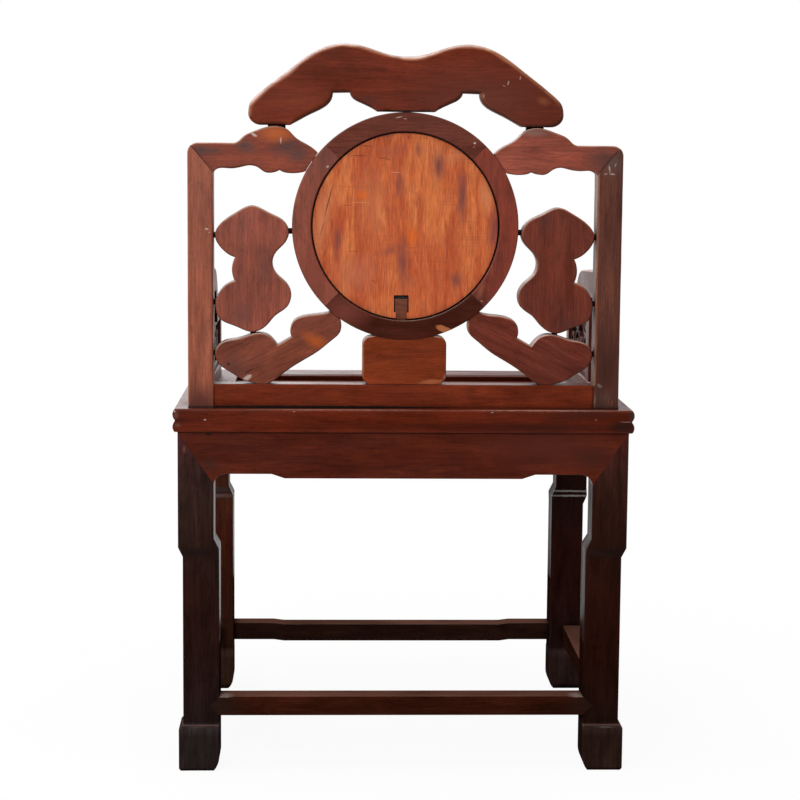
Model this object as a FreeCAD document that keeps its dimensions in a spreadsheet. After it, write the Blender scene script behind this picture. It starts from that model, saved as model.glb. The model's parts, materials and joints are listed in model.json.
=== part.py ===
import FreeCAD, Part
import math
import os
import re

import Sketcher

# An East Asian hardwood armchair, seen in its photograph from behind.
# Frame: millimetres, +Z up, origin on the floor under the middle of the seat.
# The sitter looks along -Y, so +X is the sitter's left and +Y is the back of the chair.

Vector = FreeCAD.Vector

# Driving sizes in millimetres, one cell of the sheet each

SIZES = {
    # Seat frame and panel
    "seat_width": 630.0,
    "seat_depth": 510.0,
    "seat_height": 508.0,
    "rail_width": 70.0,
    "rail_height": 32.0,
    "rail_groove_depth": 3.0,
    "rail_groove_gap": 2.0,
    "back_rail_round": 3.5,
    "panel_sink": 9.0,
    "panel_thickness": 12.0,
    "tongue_drop": 3.0,
    "tongue_thickness": 6.0,
    "tongue_length": 8.0,
    "tongue_play": 1.0,
    "lip_height": 2.5,
    "lip_width": 5.0,
    "batten_width": 36.0,
    "batten_height": 18.0,
    "batten_tenon": 12.0,
    "batten_spacing": 230.0,
    # Legs, each a square post with a step and a hoof foot
    "leg_inset": 6.2,
    "upper_leg": 49.0,
    "lower_leg": 50.0,
    "leg_step": 6.0,
    "step_bottom": 301.5,
    "step_rise": 14.0,
    "inner_step_lift": 12.5,
    "foot_height": 65.0,
    "foot_round": 6.0,
    "foot_toe": 5.0,
    "foot_heel_width": 8.0,
    "foot_heel_height": 21.0,
    "leg_tenon": 16.0,
    "leg_tenon_height": 12.0,
    # Aprons under the seat
    "apron_thickness": 20.0,
    "apron_end_height": 58.0,
    "apron_belly": 6.0,
    "apron_end_length": 79.0,
    "apron_slope_length": 18.0,
    "apron_corner_run": 19.0,
    "apron_corner_drop": 14.0,
    # Stretchers between the legs
    "stretcher_top": 105.0,
    "stretcher_height": 27.0,
    "stretcher_depth": 34.0,
    "side_stretcher_depth": 30.0,
    "stretcher_tenon": 18.0,
    "stretcher_tenon_width": 10.0,
    "stretcher_tenon_height": 17.0,
    "stretcher_shoulder_depth": 8.0,
    "jog_depth": 9.0,
    "jog_start": 64.0,
    "jog_run": 16.0,
    # Back posts and bottom rail
    "post_side_inset": 20.0,
    "post_back_inset": 18.0,
    "post_width": 34.5,
    "post_depth": 38.0,
    "post_corner": 14.0,
    "post_tenon": 14.0,
    "post_tenon_height": 13.0,
    "foot_rail_height": 32.0,
    "foot_rail_depth": 30.0,
    # Ring, board and roundel
    "ring_centre_height": 248.0,
    "ring_radius": 154.0,
    "ring_width": 26.0,
    "ring_depth": 30.0,
    "ring_lip": 6.0,
    "ring_lip_depth": 6.0,
    "stone_thickness": 11.0,
    "stone_play": 0.5,
    "board_thickness": 8.0,
    "board_play": 1.5,
    "board_tongue_width": 24.0,
    "board_tongue_thickness": 4.0,
    "board_tongue_length": 6.0,
    "pocket_play": 0.3,
    # Sliding bolt that locks the board
    "bolt_offset": 4.7,
    "bolt_grip": 17.5,
    "bolt_drop": 108.0,
    "bolt_width": 14.0,
    "bolt_thickness": 6.4,
    "bolt_bite": 4.0,
    "bolt_travel": 5.0,
    "bolt_play": 1.2,
    "bolt_flange": 2.0,
    "bolt_flange_length": 6.0,
    # Openwork pieces of the back
    "cloud_thickness": 28.0,
    "crest_thickness": 32.0,
    "crest_height": 109.6,
    "crest_overhang": 37.95,
    "crest_seat_gap": 0.4,
    "crest_cloud_gap": 1.3,
    "upper_cloud_height": 63.0,
    "upper_cloud_drop": 40.0,
    "side_cloud_gap": 2.2,
    "side_ring_gap": 1.3,
    "side_cloud_rest_gap": 1.1,
    "side_cloud_top_gap": 44.2,
    "lower_cloud_gap": 2.0,
    "lower_block_gap": 29.0,
    "cloud_clearance": 0.4,
    "block_width": 115.0,
    "block_bite": 4.6,
    "block_corner": 12.0,
    "dowel_diameter": 8.0,
    "dowel_length": 26.0,
    "tongue_width": 24.0,
    # Arms
    "arm_thickness": 23.0,
    "arm_outer_inset": 22.0,
    "arm_length": 384.0,
    "arm_height": 186.0,
    "arm_rear_depth": 43.0,
    "arm_front_drop": 64.5,
    "arm_front_depth": 30.0,
    "arm_shoulder": 232.0,
    "arm_slope_run": 32.0,
    "arm_foot_height": 22.0,
    "arm_stile_width": 28.0,
    "middle_stile_start": 104.0,
    "middle_stile_width": 36.0,
    "arm_tenon": 12.0,
    "arm_tenon_thickness": 9.0,
    "fret_thickness": 15.0,
    "fret_border": 8.0,
    "fret_band": 6.0,
}

UPPER_CLOUD_TOP_SHARES = [
    (0.251, 0.675),
    (0.308, 0.789),
    (0.410, 0.890),
    (0.526, 0.975),
    (0.633, 1.000),
    (0.746, 0.922),
    (0.819, 0.768),
    (0.939, 0.613),
    (1.046, 0.440),
]
UPPER_CLOUD_SHOULDER_SHARES = (0.181, 0.630)
UPPER_CLOUD_TIP_SHARES = (0.952, 0.062)
UPPER_CLOUD_FIRST_LOBE_SHARES = [(0.880, 0.012), (0.775, -0.005), (0.700, 0.020), (0.664, 0.059)]
UPPER_CLOUD_SECOND_LOBE_SHARES = [
    (0.592, 0.005),
    (0.519, 0.013),
    (0.444, 0.117),
    (0.356, 0.154),
    (0.269, 0.114),
    (0.166, 0.087),
    (0.060, 0.090),
    (0.020, 0.055),
]

SIDE_CLOUD_NOTCH_SHARES = [(0.262, 0.592), (0.223, 0.500), (0.258, 0.407)]
SIDE_CLOUD_BODY_SHARES = [
    (0.100, 0.353),
    (0.006, 0.225),
    (0.060, 0.106),
    (0.270, 0.045),
    (0.497, 0.000),
    (0.680, 0.052),
    (0.800, 0.133),
    (0.955, 0.205),
    (1.000, 0.315),
    (0.930, 0.395),
    (0.800, 0.470),
    (0.756, 0.551),
    (0.800, 0.630),
    (0.930, 0.715),
    (0.970, 0.801),
    (0.900, 0.880),
    (0.700, 0.947),
    (0.473, 1.000),
    (0.300, 0.955),
    (0.124, 0.886),
    (0.000, 0.775),
    (0.100, 0.652),
    (0.262, 0.592),
]

LOWER_CLOUD_START_SHARES = (0.493, 0.547)
LOWER_CLOUD_STEP_SHARES = (0.606, 0.664)
LOWER_CLOUD_LOBE_SHARES = [
    (0.596, 0.768),
    (0.624, 0.892),
    (0.690, 0.955),
    (0.800, 0.985),
    (0.930, 1.040),
]
LOWER_CLOUD_CROWN_SHARE = 0.717
LOWER_CLOUD_BODY_SHARES = [
    (1.000, 0.857),
    (0.990, 0.731),
    (0.931, 0.625),
    (0.815, 0.457),
    (0.698, 0.330),
    (0.604, 0.225),
    (0.509, 0.099),
    (0.439, 0.014),
    (0.355, 0.000),
    (0.225, 0.050),
    (0.130, 0.150),
    (0.034, 0.270),
    (0.000, 0.428),
    (0.023, 0.534),
    (0.077, 0.600),
    (0.184, 0.640),
    (0.281, 0.698),
    (0.357, LOWER_CLOUD_CROWN_SHARE),
    (0.411, 0.692),
    (0.460, 0.624),
    (0.493, 0.547),
]

CREST_TOP_SHARES = [
    (0.117, 0.874),
    (0.218, 0.936),
    (0.310, 0.985),
    (0.394, 1.000),
    (0.500, 0.967),
    (0.629, 0.842),
    (0.742, 0.678),
    (0.859, 0.505),
    (0.948, 0.363),
    (0.990, 0.270),
    (1.000, 0.190),
    (0.997, 0.095),
    (0.969, 0.028),
    (0.925, 0.000),
]
CREST_DIP_SHARE = 0.847
CREST_END_SHARES = (0.737, 0.000)
CREST_LOBE_SHARES = [(0.695, 0.044), (0.624, 0.120), (0.554, 0.185), (0.495, 0.262), (0.465, 0.398)]
CREST_STEP_SHARES = (0.359, 0.404)
CREST_LIP_SHARES = [(0.338, 0.333), (0.290, 0.280), (0.225, 0.222), (0.183, 0.174)]

ARM_TOP_SHARES = [
    (0.160, 0.990),
    (0.340, 0.974),
    (0.490, 0.958),
    (0.560, 0.944),
    (0.618, 0.910),
    (0.665, 0.850),
    (0.700, 0.790),
    (0.735, 0.720),
    (0.790, 0.672),
    (0.860, 0.655),
]
ARM_NOSE_SHARES = [(0.955, 0.640), (0.992, 0.590), (1.000, 0.540)]

# How far the upper clouds reach toward the middle, as a share of the ring's radius
UPPER_CLOUD_END_SHARE = 0.815

# Height of the lower clouds as a share of the space from the foot rail to the ring's centre
LOWER_CLOUD_RISE_SHARE = 0.449

# Places of the dowels, as shares of the pieces that they join, and in degrees round the ring

CREST_PIN_SHARE = 0.633
SIDE_CLOUD_PIN_SHARES = (0.235, 0.765, 0.800)
LOWER_CLOUD_PIN_SHARE = 0.43
BETWEEN_CLOUDS_SHARE = 0.52
LOWER_CLOUD_FOOT_SHARE = 0.36
RING_PINS = {"upper_ring": 36.0, "lower_ring": -53.5}

# The carved scrolls: each inner turn as a share of the first, and the knob as a share of the band

SCROLL_SHARES = (0.62, 0.38)
KNOB_SHARE = 1.1

doc = FreeCAD.newDocument("Chair")
sheet = doc.addObject("Spreadsheet::Sheet", "Sizes")
for row, (alias, number) in enumerate(SIZES.items(), start=1):
    sheet.set(f"A{row}", alias)
    sheet.set(f"B{row}", str(number))
    sheet.setAlias(f"B{row}", alias)
doc.recompute()


def size(alias):
    """The number that the sheet holds under this alias."""
    return float(getattr(sheet, alias))


def bind(feature, path, text):
    """Bind a property to sheet cells; the text names them by alias."""
    feature.setExpression(path, re.sub(r"\b([a-z]+(?:_[a-z]+)*)\b", r"Sizes.\1", text))


def new_body(label):
    """An empty body with its own label."""
    body = doc.addObject("PartDesign::Body", label)
    body.Label = label
    return body


def new_sketch(body, role, name):
    """A sketch on one of the body's own origin planes."""
    sketch = body.newObject("Sketcher::SketchObject", f"{body.Name}_{name}")
    plane = next(entry for entry in body.Origin.OriginFeatures if entry.Role == role)
    sketch.AttachmentSupport = [(plane, "")]
    sketch.MapMode = "FlatFace"
    return sketch


def place(feature, x, y, z, turn=0.0, axis=Vector(0, 0, 1)):
    """Turn the feature and bind its position to the sheet."""
    feature.Placement = FreeCAD.Placement(Vector(), FreeCAD.Rotation(axis, turn))
    for letter, text in zip("xyz", (x, y, z)):
        if text != "0":
            bind(feature, f".Placement.Base.{letter}", text)


def polygon(sketch, corners):
    """A closed polygon; every corner is a pair of texts over the sheet's aliases."""
    count = len(corners)
    reach = size("seat_width")
    turns = [math.tau * rank / count for rank in range(count)]
    ring = [Vector(reach * math.cos(turn), reach * math.sin(turn), 0) for turn in turns]
    first = sketch.GeometryCount
    for here in range(count):
        sketch.addGeometry(Part.LineSegment(ring[here], ring[(here + 1) % count]))
    for here in range(count):
        sketch.addConstraint(
            Sketcher.Constraint("Coincident", first + here, 2, first + (here + 1) % count, 1)
        )
    for here, (across, up) in enumerate(corners):
        for kind, axis, text in (("DistanceX", -2, across), ("DistanceY", -1, up)):
            if text == "0":
                sketch.addConstraint(Sketcher.Constraint("PointOnObject", first + here, 1, axis))
                continue
            rank = sketch.addConstraint(Sketcher.Constraint(kind, -1, 1, first + here, 1, reach))
            name = f"{kind[-1].lower()}_{first + here}"
            sketch.renameConstraint(rank, name)
            bind(sketch, f"Constraints.{name}", text)


def closed_outline(sketch, start, steps):
    """A closed outline of lines, arcs through a point and smooth curves."""
    here = start
    for kind, *points in steps:
        if kind == "line":
            sketch.addGeometry(Part.LineSegment(here, points[0]))
        elif kind == "arc":
            sketch.addGeometry(Part.Arc(here, points[0], points[1]))
        else:
            curve = Part.BSplineCurve()
            curve.interpolate([here] + points)
            sketch.addGeometry(curve)
        here = points[-1]


def mirrored(points, side):
    """The points as they are on the left, or mirrored to the right."""
    return [Vector(side * point.x, point.y) for point in points]


def pad(body, sketch, length, midplane=False, reverse=False):
    """A pad of bound length."""
    feature = body.newObject("PartDesign::Pad", f"{sketch.Name}_pad")
    feature.Profile = sketch
    feature.Midplane = midplane
    feature.Reversed = reverse
    bind(feature, "Length", length)
    return feature


def pocket(body, sketch, depth=None, midplane=False, reverse=False):
    """A pocket, through everything unless a depth is given."""
    feature = body.newObject("PartDesign::Pocket", f"{sketch.Name}_cut")
    feature.Profile = sketch
    feature.Midplane = midplane
    feature.Reversed = reverse
    if depth is None:
        feature.Type = "ThroughAll"
    else:
        bind(feature, "Length", depth)
    return feature


def carve(label, blank, tools):
    """The blank with its neighbours' tenons, pins or faces cut out of it."""
    tool = tools[0]
    if len(tools) > 1:
        tool = doc.addObject("Part::MultiFuse", f"{label}_tools")
        tool.Shapes = tools
    feature = doc.addObject("Part::Cut", label)
    feature.Label = label
    feature.Base = blank
    feature.Tool = tool
    return feature


PARTS = {}


def keep(feature):
    """List the feature as a sub-part, under its label."""
    PARTS[feature.Label] = feature
    return feature


# Aprons: a plate under each side of the seat, mitred over the legs' outer faces

def apron(label, length, turn, x, y):
    """One apron; its outer face is at y = 0 and its top at z = 0."""
    body = new_body(label)
    outer = size(length) / 2 - size("leg_inset")
    under = outer - size("upper_leg")
    flat = under - size("apron_end_length")
    edge = -size("apron_end_height")
    run = size("apron_corner_run")
    drop = size("apron_corner_drop")
    reach = math.sqrt(0.5)
    belly = Vector(flat - size("apron_slope_length"), edge - size("apron_belly"))
    right = [
        Vector(outer, 0),
        Vector(under, edge - drop),
        Vector(under - run * (1 - reach), edge - drop * (1 - reach)),
        Vector(under - run, edge),
        Vector(flat, edge),
        belly,
    ]
    left = mirrored(right, -1)
    face = new_sketch(body, "XZ_Plane", "face")
    closed_outline(
        face,
        right[0],
        [
            ("line", right[1]),
            ("arc", right[2], right[3]),
            ("line", right[4]),
            ("line", right[5]),
            ("line", left[5]),
            ("line", left[4]),
            ("line", left[3]),
            ("arc", left[2], left[1]),
            ("line", left[0]),
            ("line", right[0]),
        ],
    )
    pad(body, face, "apron_thickness", reverse=True)
    half = f"({length} / 2 - leg_inset)"
    for side, sign in (("left", "-"), ("right", "")):
        mitre = new_sketch(body, "XY_Plane", f"mitre_{side}")
        polygon(
            mitre,
            [
                (f"{sign}{half}", "0"),
                (f"{sign}({half} - apron_thickness)", "apron_thickness"),
                (f"{sign}({half} + apron_thickness)", "apron_thickness"),
            ],
        )
        pocket(body, mitre, midplane=True)
    place(body, x, y, "seat_height - rail_height", turn)
    return keep(body)


SIDES = {
    "front": ("seat_width", 0, "0", "leg_inset - seat_depth / 2"),
    "left": ("seat_depth", 90, "seat_width / 2 - leg_inset", "0"),
    "back": ("seat_width", 180, "0", "seat_depth / 2 - leg_inset"),
    "right": ("seat_depth", 270, "leg_inset - seat_width / 2", "0"),
}
aprons = {side: apron(f"apron_{side}", *SIDES[side]) for side in SIDES}

# Stretchers: one low rail on each side, with short tenons in the legs


def stretcher(side):
    """One stretcher; its outer face is at y = 0 and its top at z = 0."""
    length, turn, x, y = SIDES[side]
    depth = "side_stretcher_depth" if side in ("left", "right") else "stretcher_depth"
    body = new_body(f"stretcher_{side}")
    reach = f"({length} / 2 - leg_inset - leg_step - lower_leg)"
    plan = new_sketch(body, "XY_Plane", "plan")
    if side == "front":
        jog = f"({reach} - jog_start)"
        run = f"({reach} - jog_start - jog_run)"
        outer = [(reach, "0"), (jog, "0"), (run, "jog_depth")]
        inner = [(run, f"{depth} + jog_depth"), (jog, depth), (reach, depth)]
        near = [(f"-{across}", up) for across, up in reversed(outer)]
        far = [(f"-{across}", up) for across, up in reversed(inner)]
        polygon(plan, outer + near + far + inner)
    else:
        polygon(plan, [(reach, "0"), (f"-{reach}", "0"), (f"-{reach}", depth), (reach, depth)])
    pad(body, plan, "stretcher_height", reverse=True)
    tenon = new_sketch(body, "XY_Plane", "tenon")
    low = f"{depth} / 2 - stretcher_tenon_width / 2"
    high = f"{depth} / 2 + stretcher_tenon_width / 2"
    for sign in ("", "-"):
        root = f"{sign}{reach}"
        tip = f"{sign}({reach} + stretcher_tenon)"
        polygon(tenon, [(root, low), (tip, low), (tip, high), (root, high)])
    bind(tenon, ".AttachmentOffset.Base.z", "-stretcher_height / 2")
    pad(body, tenon, "stretcher_tenon_height", midplane=True)
    shoulder = new_sketch(body, "XZ_Plane", "shoulder")
    for sign in ("", "-"):
        root = f"{sign}{reach}"
        tip = f"{sign}({reach} + stretcher_height / 2)"
        polygon(shoulder, [(root, "0"), (tip, "-stretcher_height / 2"), (root, "-stretcher_height")])
    pad(body, shoulder, "stretcher_shoulder_depth", reverse=True)
    shift_x = {"left": " - leg_step", "right": " + leg_step"}.get(side, "")
    shift_y = {"front": " + leg_step", "back": " - leg_step"}.get(side, "")
    place(body, x + shift_x, y + shift_y, "stretcher_top", turn)
    return keep(body)


stretchers = {side: stretcher(side) for side in SIDES}

# Legs: the same profile cut from two sides, with the step and the hoof foot


def leg_profile(sketch):
    """Outline of the leg seen from its side, from its outer face inward."""
    lower = size("leg_step") + size("lower_leg")
    top = size("seat_height") - size("rail_height")
    step = size("step_bottom")
    inner_step = step + size("inner_step_lift")
    toe = size("foot_toe")
    round_over = size("foot_round")
    foot = size("foot_height")
    heel = size("foot_heel_width")
    rise = size("foot_heel_height")
    slant = 1 - math.sqrt(0.5)
    shoulder = foot - round_over
    heel_radius = (heel * heel + rise * rise) / (2 * heel)
    half_turn = math.asin(rise / heel_radius) / 2
    heel_middle = Vector(
        lower - heel_radius * (1 - math.cos(half_turn)), rise - heel_radius * math.sin(half_turn)
    )
    closed_outline(
        sketch,
        Vector(toe, 0),
        [
            ("line", Vector(lower - heel, 0)),
            ("arc", heel_middle, Vector(lower, rise)),
            ("line", Vector(lower, inner_step)),
            ("line", Vector(size("upper_leg"), inner_step + size("step_rise"))),
            ("line", Vector(size("upper_leg"), top)),
            ("line", Vector(0, top)),
            ("line", Vector(0, step + size("step_rise"))),
            ("line", Vector(size("leg_step"), step)),
            ("line", Vector(size("leg_step"), foot)),
            ("arc", Vector(round_over * slant, foot - round_over * slant), Vector(0, shoulder)),
            ("line", Vector(0, toe)),
            ("arc", Vector(toe * slant, toe * slant), Vector(toe, 0)),
        ],
    )


def leg(label, turn, x, y, neighbours):
    """One leg; its outer corner is at x = y = 0 and it grows inward."""
    body = new_body(f"{label}_blank")
    face = new_sketch(body, "XZ_Plane", "face")
    leg_profile(face)
    pad(body, face, "leg_step + lower_leg", reverse=True)
    side = new_sketch(body, "YZ_Plane", "side")
    leg_profile(side)
    margin = size("lower_leg")
    low = Vector(-margin, -margin)
    high = Vector(2 * margin + size("leg_step"), size("seat_height") + margin)
    closed_outline(
        side,
        low,
        [
            ("line", Vector(high.x, low.y)),
            ("line", high),
            ("line", Vector(low.x, high.y)),
            ("line", low),
        ],
    )
    pocket(body, side, midplane=True)
    tenon = new_sketch(body, "XY_Plane", "tenon")
    low = "upper_leg / 2 - leg_tenon / 2"
    high = "upper_leg / 2 + leg_tenon / 2"
    polygon(tenon, [(low, low), (high, low), (high, high), (low, high)])
    bind(tenon, ".AttachmentOffset.Base.z", "seat_height - rail_height - leg_tenon")
    pad(body, tenon, "leg_tenon + leg_tenon_height")
    place(body, x, y, "0", turn)
    return keep(carve(label, body, neighbours))


LEG_X = "(seat_width / 2 - leg_inset)"
LEG_Y = "(seat_depth / 2 - leg_inset)"
LEGS = {
    "leg_front_right": (0, f"-{LEG_X}", f"-{LEG_Y}", "front", "right"),
    "leg_front_left": (90, LEG_X, f"-{LEG_Y}", "front", "left"),
    "leg_back_left": (180, LEG_X, LEG_Y, "back", "left"),
    "leg_back_right": (270, f"-{LEG_X}", LEG_Y, "back", "right"),
}
legs = {
    label: leg(label, turn, x, y, [aprons[first], aprons[second], stretchers[first], stretchers[second]])
    for label, (turn, x, y, first, second) in LEGS.items()
}

# Back posts: they stand on the seat frame and are mitred with the upper clouds

BACK_Y = "seat_depth / 2 - post_back_inset - post_depth / 2"


def mirrored_steps(start, steps, side):
    """A whole outline, mirrored when it is on the right."""
    turned = [(kind, *mirrored(points, side)) for kind, *points in steps]
    return mirrored([start], side)[0], turned


def crest_low():
    """Height of the crest's underside above the seat, where its lip rests on the ring."""
    ring_top = size("ring_centre_height") + size("ring_radius")
    return ring_top + size("crest_seat_gap") - CREST_LIP_SHARES[-1][1] * size("crest_height")


def back_edges():
    """The inner and outer faces of the left post, and its top corner's places."""
    outer = size("seat_width") / 2 - size("post_side_inset")
    inner = outer - size("post_width")
    top = crest_low() - size("crest_cloud_gap") - size("upper_cloud_height") + size("upper_cloud_drop")
    corner = size("post_corner")
    slant = 1 - math.sqrt(0.5)
    tip = Vector(outer - corner * slant, top - corner * slant)
    return inner, outer, top, tip


def crown_x():
    """How far from the middle the upper clouds' crowns carry the crest."""
    inner = back_edges()[0]
    return inner + (UPPER_CLOUD_END_SHARE * size("ring_radius") - inner) * CREST_PIN_SHARE


def crest_box():
    """The crest's low middle, its half width and its height."""
    return Vector(0, crest_low()), crown_x() + size("crest_overhang"), size("crest_height")


def lower_cloud_box():
    """The left lower cloud's outer low corner, its width toward the middle and its height."""
    corner = Vector(
        back_edges()[0] - size("lower_cloud_gap"), size("foot_rail_height") + size("cloud_clearance")
    )
    width = corner.x - size("block_width") / 2 - size("lower_block_gap")
    height = LOWER_CLOUD_RISE_SHARE * (size("ring_centre_height") - size("foot_rail_height"))
    return corner, -width, height


def side_cloud_box():
    """The left side cloud's outer low corner, its width toward the middle and its height."""
    inner, _, top, _ = back_edges()
    corner, _, rise = lower_cloud_box()
    low = corner.y + LOWER_CLOUD_CROWN_SHARE * rise + size("side_cloud_rest_gap")
    high = top - size("upper_cloud_drop") - size("side_cloud_top_gap")
    outer = inner - size("side_cloud_gap")
    width = outer - size("ring_radius") - size("side_ring_gap")
    return Vector(outer, low), -width, high - low


def back_slab(label, start, steps, thickness, side=1):
    """A flat piece of the back, cut to an outline and centred on the posts."""
    body = new_body(label)
    face = new_sketch(body, "XZ_Plane", "face")
    start, steps = mirrored_steps(start, steps, side)
    closed_outline(face, start, steps)
    pad(body, face, thickness, midplane=True)
    place(body, "0", BACK_Y, "seat_height")
    return body


def post_blank(label, side):
    """One post, with a square tenon that goes into the seat frame."""
    inner, outer, top, tip = back_edges()
    corner = size("post_corner")
    lean = math.sin(math.pi / 8)
    rise = math.cos(math.pi / 8)
    centre = Vector(outer - corner, top - corner)
    half_way = centre + Vector(rise * corner, lean * corner)
    steps = [
        ("line", Vector(outer, 0)),
        ("line", Vector(outer, top - corner)),
        ("arc", half_way, tip),
        ("line", Vector(inner, top - size("upper_cloud_drop"))),
        ("line", Vector(inner, 0)),
    ]
    body = back_slab(label, Vector(inner, 0), steps, "post_depth", side)
    tenon = new_sketch(body, "XY_Plane", "tenon")
    sign = "" if side > 0 else "-"
    near = f"{sign}(seat_width / 2 - post_side_inset - post_width / 2 - post_tenon / 2)"
    far = f"{sign}(seat_width / 2 - post_side_inset - post_width / 2 + post_tenon / 2)"
    polygon(
        tenon,
        [
            (near, "-post_tenon / 2"),
            (far, "-post_tenon / 2"),
            (far, "post_tenon / 2"),
            (near, "post_tenon / 2"),
        ],
    )
    pad(body, tenon, "post_tenon_height", reverse=True)
    return body


HANDS = {"left": 1, "right": -1}
post_blanks = {hand: post_blank(f"back_post_{hand}_blank", side) for hand, side in HANDS.items()}

foot_rail = new_body("back_foot_rail_blank")
foot_rail_face = new_sketch(foot_rail, "XZ_Plane", "face")
half_span = "(seat_width / 2 - post_side_inset - post_width)"
polygon(
    foot_rail_face,
    [
        (f"-{half_span}", "0"),
        (half_span, "0"),
        (half_span, "foot_rail_height"),
        (f"-{half_span}", "foot_rail_height"),
    ],
)
pad(foot_rail, foot_rail_face, "foot_rail_depth", midplane=True)
place(foot_rail, "0", BACK_Y, "seat_height")

# Openwork clouds, crest and block of the back


def spread(shares, corner, across, up):
    """Points from shares of a width and a height, measured from a corner."""
    return [Vector(corner.x + share[0] * across, corner.y + share[1] * up) for share in shares]


def upper_cloud_blank(label, side):
    """The arm of the frame that runs from the post's mitre to the ring."""
    inner, outer, top, tip = back_edges()
    corner = size("post_corner")
    reach = UPPER_CLOUD_END_SHARE * size("ring_radius") - inner
    height = size("upper_cloud_height")
    low = Vector(inner, top - size("upper_cloud_drop"))
    centre = Vector(outer - corner, top - corner)
    half_way = centre + Vector(math.sin(math.pi / 8) * corner, math.cos(math.pi / 8) * corner)
    steps = [
        ("line", tip),
        ("arc", half_way, Vector(outer - corner, top)),
        ("line", Vector(inner + reach * UPPER_CLOUD_SHOULDER_SHARES[0], top)),
        ("curve", *spread(UPPER_CLOUD_TOP_SHARES, low, reach, height)),
        ("line", *spread([UPPER_CLOUD_TIP_SHARES], low, reach, height)),
        ("curve", *spread(UPPER_CLOUD_FIRST_LOBE_SHARES, low, reach, height)),
        ("curve", *spread(UPPER_CLOUD_SECOND_LOBE_SHARES, low, reach, height), low),
    ]
    return back_slab(label, low, steps, "cloud_thickness", side)


def side_cloud_blank(label, side):
    """The tall waisted cloud between the post and the ring."""
    box = side_cloud_box()
    notch = spread(SIDE_CLOUD_NOTCH_SHARES, *box)
    steps = [("curve", *notch[1:]), ("curve", *spread(SIDE_CLOUD_BODY_SHARES, *box))]
    return back_slab(label, notch[0], steps, "cloud_thickness", side)


def lower_cloud_blank(label, side):
    """The leaning cloud between the foot rail and the ring."""
    box = lower_cloud_box()
    start = spread([LOWER_CLOUD_START_SHARES], *box)[0]
    steps = [
        ("line", *spread([LOWER_CLOUD_STEP_SHARES], *box)),
        ("curve", *spread(LOWER_CLOUD_LOBE_SHARES, *box)),
        ("curve", *spread(LOWER_CLOUD_BODY_SHARES, *box)),
    ]
    return back_slab(label, start, steps, "cloud_thickness", side)


def crest_blank(label):
    """The crest rail: two raised shoulders with a dip between them."""
    box = crest_box()
    top = spread(CREST_TOP_SHARES, *box)
    lobe = spread(CREST_LOBE_SHARES, *box)
    lips = spread(CREST_LIP_SHARES, *box)
    end = spread([CREST_END_SHARES], *box)[0]
    step = spread([CREST_STEP_SHARES], *box)[0]
    dip = spread([(0, CREST_DIP_SHARE)], *box)[0]
    other_top = mirrored(top, -1)
    other_lobe = mirrored(lobe, -1)
    other_lips = mirrored(lips, -1)
    steps = [
        ("curve", *reversed(other_top[:-1]), dip, *top),
        ("line", end),
        ("curve", *lobe),
        ("line", step),
        ("curve", *lips),
        ("line", other_lips[-1]),
        ("curve", *reversed(other_lips[:-1]), *mirrored([step], -1)),
        ("line", other_lobe[-1]),
        ("curve", *reversed(other_lobe[:-1]), *mirrored([end], -1)),
        ("line", other_top[-1]),
    ]
    return back_slab(label, other_top[-1], steps, "crest_thickness")


def block_blank(label):
    """The block with rounded corners under the ring."""
    half = size("block_width") / 2
    low = size("foot_rail_height") + size("cloud_clearance")
    high = size("ring_centre_height") - size("ring_radius") + size("block_bite")
    corner = size("block_corner")
    slant = corner * (1 - math.sqrt(0.5))
    steps = []
    places = [(1, 1, low, 0), (1, -1, high, 1), (-1, -1, high, 0), (-1, 1, low, 1)]
    for across, up, level, first_upright in places:
        flat_end = Vector(across * (half - corner), level)
        upright_end = Vector(across * half, level + up * corner)
        middle = Vector(across * (half - slant), level + up * slant)
        ends = (upright_end, flat_end) if first_upright else (flat_end, upright_end)
        steps += [("line", ends[0]), ("arc", middle, ends[1])]
    start = steps[-1][-1]
    return back_slab(label, start, steps, "cloud_thickness")


# Ring of four mitred segments, with a lip that holds the stone from the front


def ring_blank(label, turn):
    """A quarter of the ring, centred on the top and turned to its place."""
    body = new_body(label)
    section = new_sketch(body, "YZ_Plane", "section")
    inside = "ring_radius - ring_width"
    polygon(
        section,
        [
            ("-ring_depth / 2", f"{inside} - ring_lip"),
            ("ring_lip_depth - ring_depth / 2", f"{inside} - ring_lip"),
            ("ring_lip_depth - ring_depth / 2", inside),
            ("ring_depth / 2", inside),
            ("ring_depth / 2", "ring_radius"),
            ("-ring_depth / 2", "ring_radius"),
        ],
    )
    turned = body.newObject("PartDesign::Revolution", f"{body.Name}_turned")
    turned.Profile = section
    turned.ReferenceAxis = (section, ["H_Axis"])
    turned.Angle = 90
    turned.Midplane = True
    place(body, "0", BACK_Y, "seat_height + ring_centre_height", turn, Vector(0, 1, 0))
    return body


def box(label, length, width, height, x, y, z):
    """A box with bound sides and a bound low corner."""
    feature = doc.addObject("Part::Box", label)
    feature.Label = label
    for path, text in (("Length", length), ("Width", width), ("Height", height)):
        bind(feature, path, text)
    place(feature, x, y, z)
    return feature


STONE_FRONT = f"{BACK_Y} - ring_depth / 2 + ring_lip_depth"
BOARD_FRONT = f"{STONE_FRONT} + stone_thickness"
RING_CENTRE = "seat_height + ring_centre_height"

stone = doc.addObject("Part::Cylinder", "stone_roundel")
stone.Label = "stone_roundel"
bind(stone, "Radius", "ring_radius - ring_width - stone_play")
bind(stone, "Height", "stone_thickness")
place(stone, "0", STONE_FRONT, RING_CENTRE, -90, Vector(1, 0, 0))
keep(stone)

# Backing board: a disc with a fixed tongue on top and a sliding bolt below

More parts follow.
